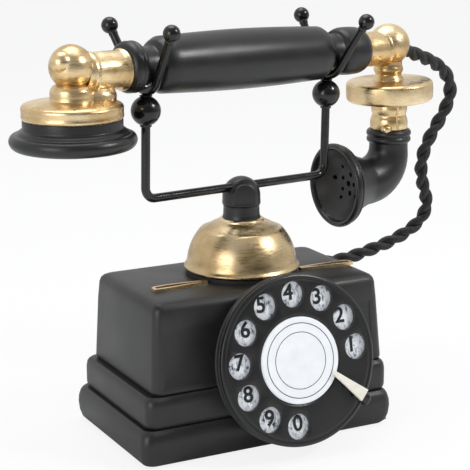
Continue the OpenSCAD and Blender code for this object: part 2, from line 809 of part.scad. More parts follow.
module grip() {
    shoulder_x = seat_x - waist_half - 1.5;
    barrel = [for (i = [-8:8]) let (u = i/8)
        [u*(shoulder_x - 2.5), shoulder_d/2 + (grip_d - shoulder_d)/2*cos(90*u)]];
    shoulder = [[shoulder_x, shoulder_d/2 - 1.4], [shoulder_x + 1.5, waist_r]];
    right = concat(shoulder, end_collar(horn_end));
    ear_side = concat(shoulder, end_collar(ear_end));
    left = [for (i = [len(ear_side) - 1:-1:0]) [-ear_side[i][0], ear_side[i][1]]];
    color([0.09, 0.09, 0.09]) at_cradle() turned(concat(
        [[-ear_end, channel_d/2]], left, barrel, right, [[horn_end, channel_d/2]]));
}

// Outline of one end collar, a soft ring that swells from the waist
function end_collar(end) = [[neck_x, waist_r], [neck_x + 0.9, collar_d/2 - 1.2],
    [neck_x + 2.4, collar_d/2 - 0.2], [(neck_x + end)/2, collar_d/2],
    [end - 2.2, collar_d/2 - 0.3], [end, collar_d/2 - 1.6]];

module sleeve(x0, x1) {
    color([0.75, 0.58, 0.32]) at_cradle() turned([[x0, channel_d/2], [x0, sleeve_r + 0.5],
        [x0 + (x1 - x0)*0.3, sleeve_r], [x1, sleeve_r - 0.3], [x1, channel_d/2]]);
}

module ear_sleeve() { sleeve(-ear_end, -ear_reach + knuckle_cut); }
module mouth_sleeve() { sleeve(horn_end, horn_reach - knuckle_cut); }

// A knuckle where the sleeve turns down into the neck; hollow for the wires
module knuckle(reach, s, ball_r, ball_level, neck_r, neck_bottom) {
    neck_h = ball_level - 4 - neck_bottom;
    color([0.75, 0.58, 0.32]) at_cradle() difference() {
        union() {
            translate([s*reach, 0, ball_level]) sphere(r=ball_r);
            translate([s*reach, 0, neck_bottom]) rotate_extrude()
                polygon(concat([[0, 0]], bulge(neck_r - 1, 1, 0, neck_h), [[0, neck_h]]));
        }
        translate([s*(reach - knuckle_cut - 1), 0, axis_z]) rotate([0, s*90, 0])
            cylinder(r=3, h=knuckle_cut + 1);
        translate([s*reach, 0, neck_bottom - 1]) cylinder(r=2.6, h=axis_z - neck_bottom + 1);
        translate([s*(reach - knuckle_cut - 20), 0, axis_z]) rotate([0, s*90, 0]) cylinder(r=20, h=20);
    }
}

module ear_elbow() { knuckle(ear_reach, -1, 9.4, ear_z, 8.8, receiver_top); }

module mouth_elbow() {
    difference() {
        knuckle(horn_reach, 1, 10, mouth_z, 7, disc_top);
        at_gland() translate([0, 0, -1]) cylinder(r=handset_gland_r + fit, h=10);
    }
}

handset_gland_r = cord_d/2 - 0.5;

// Carries its child to the handset's cord gland, +Z out along the cord
module at_gland() {
    at_cradle() translate([gland_x, 0, gland_z]) rotate([0, 90 + gland_dip, 0]) children();
}

// Brass shell of the receiver, a cup that is open below
module receiver_shell() {
    r = receiver_d/2;
    color([0.75, 0.58, 0.32]) at_cradle() translate([-ear_reach, 0, receiver_top]) difference() {
        spun([[0, 0], [8, 0], [r - 2, -1.2], [r - 0.5, -1.7], [r, -2.6], [r, 1 - shell_h],
            [r - 1, -shell_h], [0, -shell_h]]);
        translate([0, 0, -shell_h - 1]) cylinder(r=r - 3, h=shell_h - 3);
        translate([0, 0, -shell_h - 1]) cylinder(r=3, h=shell_h + 3);
    }
}

module receiver_band() {
    r = receiver_d/2 - 0.6;
    color([0.08, 0.08, 0.08]) at_cradle() translate([-ear_reach, 0, 0])
        tube(r, r - 3.4, cap_top, receiver_top - shell_h);
}

// Magnet, coils and diaphragm in one capsule behind the ear cap
module receiver_unit() {
    r = receiver_d/2 - 4.4;
    color([0.6, 0.6, 0.58]) at_cradle() translate([-ear_reach, 0, 0]) {
        translate([0, 0, cap_top]) cylinder(r=r, h=1);
        translate([0, 0, cap_top + 1]) cylinder(r=r - 4, h=receiver_top - 4 - cap_top - 1);
    }
}

// Flared ear cap: a dished ring with a hole for the sound
module ear_cap() {
    r = ear_cap_d/2;
    color([0.08, 0.08, 0.08]) at_cradle() translate([-ear_reach, 0, cap_top - cap_h]) difference() {
        spun([[0, cap_h], [receiver_d/2 - 0.2, cap_h], [r - 3.6, cap_h - 0.8],
            [r - 1.4, cap_h - 2.2], [r - 0.3, cap_h - 3.8], [r, cap_h - 4.8], [r, 2.4],
            [r - 1, 0.7], [r - 2.6, 0], [0, 0]]);
        spun([[0, -1], [r - 7, -1], [r - 7, 0], [5, 3], [0, 3]]);
        cylinder(r=5, h=cap_h - 3);
        for (a = [0:60:300]) rotate([0, 0, a]) translate([3, 0, 0]) cylinder(r=0.8, h=cap_h + 1);
    }
}

module transmitter_case() {
    r = disc_d/2;
    color([0.75, 0.58, 0.32]) at_cradle() translate([horn_reach, 0, disc_top - disc_h]) difference() {
        spun([[0, 0], [r - 1, 0], [r, 1], [r, disc_h - 1.2], [r - 1.2, disc_h - 0.4],
            [r - 3, disc_h], [0, disc_h]]);
        translate([0, 0, 2]) cylinder(r=r - 3, h=disc_h - 4);
        translate([0, 0, -1]) cylinder(r=5, h=4);
        translate([0, 0, disc_h - 3]) cylinder(r=3, h=4);
    }
}

// Carbon capsule over the horn's throat
module transmitter_unit() {
    r = disc_d/2 - 5;
    color([0.65, 0.65, 0.67]) at_cradle() translate([horn_reach, 0, disc_top - disc_h + 2])
        cylinder(r=r, h=disc_h - 4.6);
}

module horn_stem() {
    half = stem_h/2;
    color([0.75, 0.58, 0.32]) at_cradle() translate([horn_reach, 0, ring_top]) difference() {
        rotate_extrude() polygon(concat([[0, 0]], bulge(8, 1, 0, half), bulge(8, 1.2, half, stem_h),
            [[0, stem_h]]));
        translate([0, 0, -1]) cylinder(r=5, h=stem_h + 2);
    }
}

module horn_collar() {
    color([0.08, 0.08, 0.08]) at_cradle() translate([horn_reach, 0, horn_top]) difference() {
        rotate_extrude() polygon(concat([[0, 0]], bulge(9.6, 1, 0, ring_h/2),
            bulge(9.6, 1.1, ring_h/2, ring_h), [[0, ring_h]]));
        translate([0, 0, -1]) cylinder(r=horn_d/2 - horn_wall, h=ring_h + 2);
    }
}

bell_l = horn_reach - horn_bend - mouth_x;
rim_t = 4;
bend_swell = 1.4;
grille_share = 0.7;

// The horn's own frame: +Z up its stem, the mouth towards -X
module at_horn() {
    at_cradle() translate([horn_reach, 0, 0]) rotate([0, 0, -horn_turn]) children();
}

// Radius of the horn round its bend, and of its bell at a share u of its length
bend_tube_r = horn_d/2 + bend_swell;
function bell_r(u) = bend_tube_r + (mouth_d/2 - 1 - bend_tube_r)*pow(u, 2);

module horn_form(r_off, bell_extra) {
    translate([0, 0, horn_z + horn_bend - eps])
        cylinder(r1=bend_tube_r - 0.1 - r_off, r2=horn_d/2 - r_off,
            h=horn_top - horn_z - horn_bend + eps + bell_extra);
    translate([-horn_bend, 0, horn_z + horn_bend]) rotate([90, 0, 0]) rotate([0, 0, -90])
        rotate_extrude(angle=90) translate([horn_bend, 0]) circle(r=bend_tube_r - r_off);
    translate([-horn_bend + eps, 0, horn_z]) rotate([0, -90, 0]) rotate_extrude() polygon(concat([[0, 0]],
        [for (i = [0:10]) [bell_r(i/10) - r_off, eps + (bell_l - rim_t)*i/10]],
        [[mouth_d/2 - r_off, bell_l - rim_t + 0.8 + eps],
         [mouth_d/2 - r_off, bell_l - 1 + eps], [mouth_d/2 - 1 - r_off, bell_l + eps + bell_extra],
         [0, bell_l + eps + bell_extra]]));
}

module horn() {
    color([0.09, 0.09, 0.09]) at_horn() difference() {
        horn_form(0, 0);
        horn_form(horn_wall, 1);
    }
}

// Dished disc with a ring of holes, set back in the horn's mouth
module mouth_grille() {
    r = bell_r(grille_share) - horn_wall - 1;
    depth = (bell_l - rim_t)*grille_share;
    color([0.07, 0.07, 0.07]) at_horn() translate([-horn_bend - depth, 0, horn_z])
        rotate([0, -90, 0]) difference() {
            union() {
                translate([0, 0, -1]) cylinder(r=r, h=1);
                cylinder(r=r + 1 - fit, h=1.4);
            }
            cylinder(r=1.2, h=8, center=true);
            for (a = [0:36:324]) rotate([0, 0, a]) translate([r*0.55, 0, 0]) cylinder(r=0.8, h=8, center=true);
            for (a = [0:20:340]) rotate([0, 0, a]) translate([r*0.85, 0, 0]) cylinder(r=0.6, h=8, center=true);
        }
}

module handset_gland() {
    color([0.08, 0.08, 0.08]) at_gland() cylinder(r=handset_gland_r, h=8.4);
}

module handset_cord() {
    n = 10;
    last = len(CORD) - 1;
    rings = [for (i = [0:last])
        let (t = unit(CORD[min(i + 1, last)] - CORD[max(i - 1, 0)]),
             side = unit(cross(t, [0.1, 0.2, 1])), up = cross(side, t))
        ring(CORD[i], side, -up, cord_d/2, n)];
    color([0.06, 0.06, 0.06]) polyhedron(points=[for (r = rings) each r],
        faces=tube_faces(last + 1, n), convexity=10);
}

housing();
base_plate();
base_felt();
base_screws();
top_trim();
gong_seat();
gong_spacer();
gong();
gong_nut();
post_tube();
post_nut();
hook_spring();
switch_bracket();
switch_leaves();
ringer_yoke();
ringer_coils();
armature_pin();
clapper();
induction_coil();
condenser();
terminal_block();
terminal_screws();
dial_mount();
dial_case();
number_plate();
finger_stop();
dial_spring();
pulse_contacts();
finger_wheel();
dial_label();
dial_shaft();
pulse_cam();
cord_gland();
line_grommet();
hook_plunger();
post_head();
cradle_wire();
ball_left();
ball_right();
fork_left();
fork_right();
fork_tips();
grip();
ear_sleeve();
ear_elbow();
receiver_shell();
receiver_band();
receiver_unit();
ear_cap();
mouth_sleeve();
mouth_elbow();
transmitter_case();
transmitter_unit();
horn_stem();
horn_collar();
horn();
mouth_grille();
handset_gland();
handset_cord();
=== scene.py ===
# %% [markdown]
# # A French-style cradle telephone
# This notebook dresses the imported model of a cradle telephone. The frame holds every
# solid at its real size; here each visible piece is modelled again with its rounded
# edges, its hand-painted brass and its satin black. It lies over its solid, in places a
# millimetre or two off it where the form is uneven.

import json
import math

import bpy
from mathutils import Matrix, Vector

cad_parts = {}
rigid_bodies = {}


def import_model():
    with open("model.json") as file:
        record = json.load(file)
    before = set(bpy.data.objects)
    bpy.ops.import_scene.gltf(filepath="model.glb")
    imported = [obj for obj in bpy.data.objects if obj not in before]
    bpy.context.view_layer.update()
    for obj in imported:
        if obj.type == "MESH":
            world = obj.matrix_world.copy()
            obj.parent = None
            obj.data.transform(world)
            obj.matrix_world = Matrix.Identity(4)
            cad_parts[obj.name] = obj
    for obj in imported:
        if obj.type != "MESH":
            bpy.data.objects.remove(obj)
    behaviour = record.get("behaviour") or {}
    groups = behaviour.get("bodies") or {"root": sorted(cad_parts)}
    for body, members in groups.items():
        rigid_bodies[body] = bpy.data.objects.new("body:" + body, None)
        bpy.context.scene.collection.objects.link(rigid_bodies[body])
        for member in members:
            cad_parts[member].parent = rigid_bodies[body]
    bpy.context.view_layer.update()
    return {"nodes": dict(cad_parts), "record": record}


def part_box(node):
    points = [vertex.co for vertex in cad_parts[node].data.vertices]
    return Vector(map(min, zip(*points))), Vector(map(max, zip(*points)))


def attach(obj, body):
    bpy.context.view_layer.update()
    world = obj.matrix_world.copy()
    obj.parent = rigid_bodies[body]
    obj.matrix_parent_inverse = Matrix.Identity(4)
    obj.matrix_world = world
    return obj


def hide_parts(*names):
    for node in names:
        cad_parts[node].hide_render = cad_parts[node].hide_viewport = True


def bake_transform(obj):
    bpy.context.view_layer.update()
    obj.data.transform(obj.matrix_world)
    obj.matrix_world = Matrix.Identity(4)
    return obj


for leftover in list(bpy.data.objects):
    bpy.data.objects.remove(leftover)
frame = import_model()
print("solids in the frame:", len(frame["nodes"]))

# %% [markdown]
# ## Units and three working frames
# All outlines below are written in millimetres and scaled once, by `MM`. The cradle and
# the handset stand turned about the post, so they share one turning matrix. The bent
# cradle also slopes a degree and a half, as the real one does, while the pieces that
# hang from the grip stay upright. The dial leans back, so it has a frame of its own.

# %% Working frames
MM = 0.001
CRADLE_TURN = 12
DIAL_LEAN = 11.8
DIAL_Y = -54.5
DIAL_Z = 44.1
HANDSET_SLOPE = 1.5
SLOPE_X = -30
AXIS_Z = 1000*(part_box("grip")[0].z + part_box("grip")[1].z)/2


def shift(x, y, z):
    """A move by millimetres, as a matrix."""
    return Matrix.Translation((x*MM, y*MM, z*MM))


def turn(degrees, axis):
    """A turn about X, Y or Z, as a matrix."""
    return Matrix.Rotation(math.radians(degrees), 4, axis)


def stretch(x, y, z):
    """A scaling along each axis, as a matrix."""
    return Matrix.Diagonal((x, y, z, 1))


IN_PLACE = Matrix.Identity(4)
UPRIGHT = turn(CRADLE_TURN, "Z")
IN_CRADLE = (UPRIGHT @ shift(SLOPE_X, 0, AXIS_Z) @ turn(HANDSET_SLOPE, "Y")
             @ shift(-SLOPE_X, 0, -AXIS_Z))
ALONG_HANDSET = IN_CRADLE @ shift(0, 0, AXIS_Z) @ turn(90, "Y")
ON_DIAL = shift(0, DIAL_Y, DIAL_Z) @ turn(90 - DIAL_LEAN, "X")
print("the handset's axis is %.2f mm above the table" % AXIS_Z)

# %% [markdown]
# ## Helpers for modelling by operators
# An operator acts on all that is selected, and the frame's solids come in selected, so
# `only` clears that first. A finished piece's object must sit at the origin with its
# place in its mesh, so `place` applies every move at once.

# %% Selecting, starting and placing


def only(piece):
    """Selects one object alone and makes it active."""
    bpy.ops.object.select_all(action="DESELECT")
    piece.select_set(True)
    bpy.context.view_layer.objects.active = piece


def start(name, operator, **settings):
    """Adds a primitive, a curve, a text or a lamp with nothing else selected."""
    bpy.ops.object.select_all(action="DESELECT")
    operator(**settings)
    piece = bpy.context.active_object
    piece.name = name
    return piece


def place(piece, where):
    """Carries a piece to its place and leaves its object at the origin."""
    piece.matrix_world = where @ piece.matrix_world
    only(piece)
    bpy.ops.object.transform_apply(location=True, rotation=True, scale=True)
    return piece


# %% Finishing, joining and copying


def modify(piece, kind, **settings):
    """Adds one modifier, sets it and applies it."""
    only(piece)
    modifier = piece.modifiers.new(kind.title(), kind)
    for name, value in settings.items():
        setattr(modifier, name, value)
    bpy.ops.object.modifier_apply(modifier=modifier.name)
    return piece


def tidy(piece):
    """Merges doubled points and turns every face outwards."""
    only(piece)
    bpy.ops.object.mode_set(mode="EDIT")
    bpy.ops.mesh.select_all(action="SELECT")
    bpy.ops.mesh.remove_doubles(threshold=0.01*MM)
    bpy.ops.mesh.normals_make_consistent(inside=False)
    bpy.ops.object.mode_set(mode="OBJECT")
    return piece


def join(name, pieces):
    """Joins several objects into one."""
    only(pieces[0])
    for piece in pieces[1:]:
        piece.select_set(True)
    bpy.ops.object.join()
    pieces[0].name = name
    return pieces[0]


def copy_of(piece, where, name="copy"):
    """A copy with its own mesh, carried to another place."""
    only(piece)
    bpy.ops.object.duplicate()
    twin = bpy.context.active_object
    twin.name = name
    return place(twin, where)


def repeat(name, piece, places):
    """Copies one piece to several places, joins the copies and drops the first one."""
    copies = [copy_of(piece, where) for where in places]
    bpy.data.objects.remove(piece)
    return join(name, copies)


# %% [markdown]
# ## The lathe
# Most of this telephone is round: gong, post, grip, knuckles, receiver, dial. `lathe`
# works as the real tool does. One vertex is extruded into an outline of radius and
# level, its corners are softened as a turner breaks an edge, and the outline is spun
# about Z. A cylinder scaled ring by ring would need far more steps for the same form.

# %% Outlines and the lathe


def arc(cx, cz, radius, start, end, steps=12):
    """Points of an arc in an outline; angles in degrees, 0 outwards and 90 up."""
    turns = [math.radians(start + (end - start)*i/steps) for i in range(steps + 1)]
    return [(cx + radius*math.cos(a), cz + radius*math.sin(a)) for a in turns]


def soften(outline, steps=4):
    """Swaps each corner given as (radius, level, fillet) for a short curve."""
    soft = []
    for i, corner in enumerate(outline):
        here = Vector(corner[:2])
        if len(corner) == 2:
            soft.append(here)
            continue
        before = Vector(outline[i - 1][:2]) - here
        after = Vector(outline[(i + 1) % len(outline)][:2]) - here
        start = here + before.normalized()*min(corner[2], before.length/2)
        end = here + after.normalized()*min(corner[2], after.length/2)
        for k in range(steps + 1):
            t = k/steps
            soft.append(start*(1 - t)**2 + here*2*t*(1 - t) + end*t*t)
    return soft


def chain(name, points):
    """A line of edges through points, extruded from a single vertex."""
    piece = start(name, bpy.ops.mesh.primitive_plane_add, size=MM)
    bpy.ops.object.mode_set(mode="EDIT")
    bpy.ops.mesh.select_mode(type="VERT")
    bpy.ops.mesh.merge(type="CENTER")
    bpy.ops.transform.translate(value=points[0])
    for before, after in zip(points, points[1:]):
        step = [b - a for a, b in zip(before, after)]
        bpy.ops.mesh.extrude_vertices_move(TRANSFORM_OT_translate={"value": step})
    return piece


def lathe(name, outline, steps=72, closed=True):
    """Spins an outline of (radius, level[, fillet]) in millimetres about the Z axis."""
    soft = soften(outline)
    if closed and soft[0][0] + soft[-1][0] > 0.01:
        soft.append(soft[0])
    piece = chain(name, [(p[0]*MM, 0, p[1]*MM) for p in soft])
    bpy.ops.mesh.select_all(action="SELECT")
    bpy.ops.mesh.spin(steps=steps, angle=2*math.pi, center=(0, 0, 0), axis=(0, 0, 1))
    bpy.ops.object.mode_set(mode="OBJECT")
    return tidy(piece)


# %% [markdown]
# ## The camera
# The telephone is seen from its left front, a little from above, through a long lens.
# The camera's place is worked out from those angles and its distance from a point in
# the middle of the telephone.

# %% Camera
VIEW_YAW = 27.42
VIEW_PITCH = 13.65
VIEW_ROLL = 0.27
VIEW_DISTANCE = 714.3
VIEW_CENTRE = (-3.36, 0, 89.06)
LENS = 119.47

aim = turn(-VIEW_YAW, "Z") @ turn(90 - VIEW_PITCH, "X") @ turn(-VIEW_ROLL, "Z")
bpy.ops.object.camera_add()
camera = bpy.context.active_object
camera.matrix_world = shift(*VIEW_CENTRE) @ aim @ shift(0, 0, VIEW_DISTANCE)
camera.data.lens = LENS
camera.data.sensor_width = 36
camera.data.clip_start = 0.01
bpy.context.scene.camera = camera
print("camera at", [round(v, 3) for v in camera.matrix_world.translation])

# %% [markdown]
# ## The cord
# Two braided strands are twisted together into one limp cord. It leaves the gland on the
# back of the case, passes behind the case, rises in free air and ends in the handset's
# elbow. No formula gives such a route, so its middle line is a plain list of points. A
# curve smooths that line; each strand then winds round it as a helix, swept as a tube by
# the curve's bevel. Two strands catch the light as a twist does; a bump on one tube can't.

# %% Cord route
CORD_D = 7
STRAND_D = 4.1
TWIST = 17.5
CORD_ROUTE = [
    (38, 42, 56), (38, 44.5, 56), (38.9, 49.6, 55.8), (41.9, 54.5, 55.4), (47, 58.3, 54.9),
    (53, 59.6, 54.3), (61, 59.2, 53.7), (70, 58.2, 53.2), (78, 57, 53), (85, 55.6, 53.4),
    (94, 54, 55), (103, 52, 57.7), (112, 50, 60.8), (120, 48.2, 64.6), (126.5, 46.4, 69.2),
    (130.5, 44.4, 75), (131, 42.4, 81.5), (128.6, 40.6, 88), (125.6, 39, 95), (124.2, 38, 102),
    (124.6, 37, 109), (127.2, 35.8, 117), (131.6, 34.4, 125.6), (134.8, 33, 132.6),
    (136.4, 31.8, 139.5), (135.4, 31, 145.3), (132.4, 30, 150.4), (127.9, 28.6, 154.2),
    (121.9, 26.8, 157.6), (115.4, 25, 160.3), (108.8, 23.1, 162.7), (104.5, 22.2, 164.4)]


def smooth_route(route, steps=10):
    """Points at most about a millimetre apart, on a soft curve through the route."""
    line = [Vector(p) for p in route]
    line = [2*line[0] - line[1]] + line + [2*line[-1] - line[-2]]
    fine = []
    for a, b, c, d in zip(line, line[1:], line[2:], line[3:]):
        for k in range(steps):
            t = k/steps
            fine.append(0.5*(2*b + (c - a)*t + (2*a - 5*b + 4*c - d)*t*t
                             + (3*b - a - 3*c + d)*t**3))
    return fine + [line[-2]]


cord_line = smooth_route(CORD_ROUTE)

# %% Wires


def wire(name, points, radius, radii=None, caps=True, sides=4):
    """A round bar along points in millimetres; radii can thicken it point by point."""
    curve = start(name, bpy.ops.curve.primitive_nurbs_path_add)
    curve.data.splines.clear()
    spline = curve.data.splines.new("POLY")
    spline.points.add(len(points) - 1)
    for i, (knot, point) in enumerate(zip(spline.points, points)):
        knot.co = (*(Vector(point)*MM), 1)
        knot.radius = radii[i] if radii else 1
    curve.data.twist_mode = "MINIMUM"
    curve.data.bevel_depth = radius*MM
    curve.data.bevel_resolution = sides
    curve.data.use_fill_caps = caps
    curve.data.use_path = False
    only(curve)
    bpy.ops.object.convert(target="MESH")
    return tidy(bpy.context.active_object)


# %% Twisted strands


def strand(name, phase):
    """One strand: a wire that winds about the cord's line."""
    offset = (CORD_D - STRAND_D)/2
    side = Vector((0, 0, 1))
    along, points = 0, []
    for i, here in enumerate(cord_line):
        ahead = cord_line[min(i + 1, len(cord_line) - 1)] - cord_line[max(i - 1, 0)]
        ahead.normalize()
        side = (side - ahead*side.dot(ahead)).normalized()
        if i:
            along += (here - cord_line[i - 1]).length
        angle = phase + 2*math.pi*along/TWIST
        out = side*math.cos(angle) + ahead.cross(side)*math.sin(angle)
        points.append(here + out*offset)
    return wire(name, points, STRAND_D/2, sides=3)


cord = join("handset_lead", [strand("strand_a", 0), strand("strand_b", math.pi)])
print("cord:", len(cord.data.polygons), "faces")

# %% [markdown]
# ## Finishes
# Each finish is a small node tree round the Principled shader. A value that is the same
# all over is set on the shader's own socket; what varies - the worn gold paint, the
# clouded black, the blotched enamel - comes from noise on Object coordinates. Image
# textures would need unwrapping, and would show seams on turned pieces.

# %% Helpers for node trees


def finish(name, color, roughness, metallic=0, **sockets):
    """A new material whose Principled shader holds plain values."""
    material = bpy.data.materials.new(name)
    material.use_nodes = True
    shader = material.node_tree.nodes["Principled BSDF"]
    shader.inputs["Base Color"].default_value = (*color, 1)
    shader.inputs["Roughness"].default_value = roughness
    shader.inputs["Metallic"].default_value = metallic
    for socket, value in sockets.items():
        shader.inputs[socket.replace("_", " ")].default_value = value
    print("finish:", name)
    return material


def shader_of(material):
    """The material's Principled shader."""
    return material.node_tree.nodes["Principled BSDF"]


def add(material, kind, inputs=None, **settings):
    """A node with its inputs set to values or linked from other nodes' sockets."""
    new = material.node_tree.nodes.new(kind)
    for name, value in settings.items():
        setattr(new, name, value)
    for key, value in (inputs or {}).items():
        if isinstance(value, bpy.types.NodeSocket):
            material.node_tree.links.new(value, new.inputs[key])
        else:
            new.inputs[key].default_value = value
    return new


def noise(material, scale, detail=3, along=(1, 1, 1), rough=0.5):
    """Noise over Object coordinates, in lumps per metre, finer along some axes."""
    here = add(material, "ShaderNodeTexCoord").outputs["Object"]
    mapped = add(material, "ShaderNodeMapping", {"Vector": here, "Scale": along})
    field = add(material, "ShaderNodeTexNoise", {"Vector": mapped.outputs["Vector"],
                "Scale": scale, "Detail": detail, "Roughness": rough})
    return field.outputs["Fac"]


def blend_tones(material, field, stops):
    """Turns a field into colours: stops are (position, colour)."""
    ramp = add(material, "ShaderNodeValToRGB", {"Fac": field})
    bands = ramp.color_ramp.elements
    while len(bands) < len(stops):
        bands.new(0.5)
    for band, (position, color) in zip(bands, stops):
        band.position = position
        band.color = (*color, 1)
    return ramp.outputs["Color"]


def spread(material, field, low, high, first=0.3, last=0.7):
    """Stretches a field between two values."""
    ranged = add(material, "ShaderNodeMapRange", {"Value": field, "From Min": first,
                 "From Max": last, "To Min": low, "To Max": high})
    return ranged.outputs["Result"]


def bump(material, field, height, before=None):
    """A bump in metres from a field, on top of an earlier one."""
    inputs = {"Height": field, "Distance": height, "Strength": 1.0}
    if before:
        inputs["Normal"] = before
    return add(material, "ShaderNodeBump", inputs).outputs["Normal"]


def plug(material, **sockets):
    """Links outputs to the shader's sockets."""
    for name, output in sockets.items():
        target = shader_of(material).inputs[name.replace("_", " ")]
        material.node_tree.links.new(output, target)
    return material


# %% [markdown]
# ## The blacks
# The case, the grip and the horn are brushed with satin black over a cast or turned form;
# the wires are dipped and shine. One plain black would look like plastic, so the satin
# ones carry a cloudy tone, a slightly uneven sheen and a fine grain.

# %% Black finishes


def satin_black(name, dark, light, roughness, grain=0.00003):
    """Painted black with cloudy tone, fine grain and a slightly uneven sheen."""
    material = finish(name, light, roughness)
    cloud = noise(material, 45, detail=5)
    fine = noise(material, 1400, detail=2)
    plug(material, Base_Color=blend_tones(material, cloud, [(0.3, dark), (0.7, light)]),
         Roughness=spread(material, cloud, roughness - 0.06, roughness + 0.06),
         Normal=bump(material, fine, grain, bump(material, cloud, 0.00015)))
    return material


case_black = satin_black("case_black", (0.011, 0.011, 0.0105), (0.021, 0.021, 0.020), 0.42)
turned_black = satin_black("turned_black", (0.006, 0.006, 0.0065), (0.012, 0.012, 0.0125), 0.34)
rubber_black = satin_black("rubber_black", (0.010, 0.010, 0.010), (0.014, 0.014, 0.014), 0.6)
gloss_black = finish("gloss_black", (0.006, 0.006, 0.006), 0.16)
plug(gloss_black, Roughness=spread(gloss_black, noise(gloss_black, 160), 0.1, 0.24),
     Normal=bump(gloss_black, noise(gloss_black, 220), 0.00008))

# %% [markdown]
# ## The gold
# The bright pieces are painted gold by hand: warm dark patches where the coat is thin,
# brush lines, and shallow dents that break the reflections. A polished metal shader alone
# would mirror the room, so its colour, sheen and normal each follow a noise of their own.
# The gong is smoother, and its gold is a fifth darker: painted shade for its dome, on the same
# gold paint.

# %% Gold paint


def gold_paint(name, dents=0.0004, shade=1):
    """Gold paint brushed on by hand: warm patches, brush lines and shallow dents; shade below 1
    is painted shade.
    """
    material = finish(name, (0.78, 0.62, 0.36), 0.3, metallic=1)
    patch = noise(material, 60, detail=4)
    brush = noise(material, 260, detail=3, along=(1, 1, 6))
    dent = noise(material, 130, detail=1)
    tones = [(0.30, (0.56, 0.38, 0.18)), (0.5, (0.78, 0.59, 0.33)), (0.70, (0.86, 0.70, 0.45))]
    # shade scales every tone; below 1 it is painted shade, not a different paint
    tones = [(stop, tuple(shade*c for c in tone)) for stop, tone in tones]
    plug(material, Base_Color=blend_tones(material, patch, tones),
         Roughness=spread(material, brush, 0.22, 0.42),
         Normal=bump(material, brush, 0.00003, bump(material, dent, dents)))
    return material


gold = gold_paint("brass")
# painted shade: the gong's gold is a fifth darker, for the shade that its dome shows
spun_gold = gold_paint("brass_spun", dents=0.00005, shade=0.8)

# %% [markdown]
# ## Inner and small finishes
# The inside hardly shows at any pose, so it gets plain finishes: brushed steel, felt,
# copper winding and brown insulator. The white label and the ivory wedge each mix two
# close colours by a soft noise, so that neither looks like a blank patch.

# %% Steel and felt


def two_tone(name, color, roughness, scale, low, high, along=(1, 1, 1), detail=3):
    """A finish that drifts softly between two colours."""
    material = finish(name, color, roughness)
    field = noise(material, scale, detail=detail, along=along)
    return plug(material, Base_Color=blend_tones(material, field, [(0.3, low), (0.7, high)]))


steel = finish("steel", (0.55, 0.55, 0.54), 0.35, metallic=1)
plug(steel, Roughness=spread(steel, noise(steel, 900, along=(1, 1, 8)), 0.25, 0.45))
felt = two_tone("felt", (0.05, 0.16, 0.09), 0.95, 900, (0.03, 0.11, 0.06), (0.06, 0.18, 0.1))
plug(felt, Normal=bump(felt, noise(felt, 2500, detail=4), 0.0002))

# %% Winding, insulator, ivory, label and ink
winding = finish("winding", (0.4, 0.13, 0.07), 0.4)
plug(winding, Normal=bump(winding, noise(winding, 700, along=(0.1, 0.1, 3)), 0.0002))
insulator = two_tone("insulator", (0.16, 0.07, 0.04), 0.3, 90,
                     (0.11, 0.045, 0.025), (0.2, 0.09, 0.05))
ivory = two_tone("ivory", (0.82, 0.79, 0.68), 0.32, 120,
                 (0.78, 0.74, 0.62), (0.86, 0.83, 0.74), along=(1, 1, 3))
label_white = two_tone("label_white", (0.86, 0.88, 0.9), 0.4, 150,
                       (0.82, 0.84, 0.87), (0.88, 0.9, 0.92))
ink = finish("ink", (0.012, 0.012, 0.013), 0.35)
plug(ink, Roughness=spread(ink, noise(ink, 500), 0.3, 0.5))

# %% [markdown]
# ## Enamel and braid
# The plate behind the finger holes is white enamel that has gone blotched and streaky, so
# three tones follow one rough noise, and only its lowest part turns dark. The cord's
# braid is dull; a fine noise in its colour and its bump stands for the threads, which
# are too many to model.

# %% Blotched enamel and braid
enamel = finish("number_white", (0.62, 0.68, 0.76), 0.35)
blotch = noise(enamel, 380, detail=6, along=(1.6, 1, 0.8), rough=0.72)
plug(enamel, Base_Color=blend_tones(enamel, blotch, [(0.37, (0.02, 0.025, 0.035)),
     (0.42, (0.50, 0.56, 0.62)), (0.52, (0.93, 0.95, 0.98))]))
braid = finish("cord_black", (0.012, 0.012, 0.012), 0.62)
threads = noise(braid, 900, detail=3, along=(1, 1, 0.4))
plug(braid, Base_Color=blend_tones(braid, threads, [(0.35, (0.006, 0.006, 0.006)),
     (0.65, (0.022, 0.022, 0.022))]), Normal=bump(braid, threads, 0.0003))

# %% Finishes by slot
FINISHES = {"case_black": case_black, "turned_black": turned_black, "gloss_black": gloss_black,
            "brass": gold, "steel": steel, "felt": felt, "winding": winding,
            "insulator": insulator, "number_white": enamel, "label_white": label_white,
            "ivory": ivory, "cord_black": braid, "rubber_black": rubber_black}
for part in frame["record"]["subparts"]:
    node = frame["nodes"][part["node"]]
    node.data.materials.clear()
    node.data.materials.append(FINISHES[part["material_slot"]])
print("finishes:", len(bpy.data.materials))

# %% [markdown]
# ## Finishing the cord
# The cord crosses from the case to the handset, so no single body can carry it. It gets
# the braid finish and smooth shading, takes the place of the plain cord solid, and stays
# unattached where it lies.

# %% Cord finish
cord.data.materials.clear()
cord.data.materials.append(braid)
only(cord)
bpy.ops.object.shade_smooth_by_angle(angle=math.radians(60))
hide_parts("handset_cord")
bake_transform(cord)

# %% [markdown]
# ## Dressing a piece
# Every piece from here on ends the same way: it goes to its place, its soft surfaces are
# smoothed while its real edges stay crisp, it gets its finish, it takes over from the
# plain solids it stands for, and it rides on the body that carries it. One helper does
# all five, so that no piece can miss a step.

# %% Dress


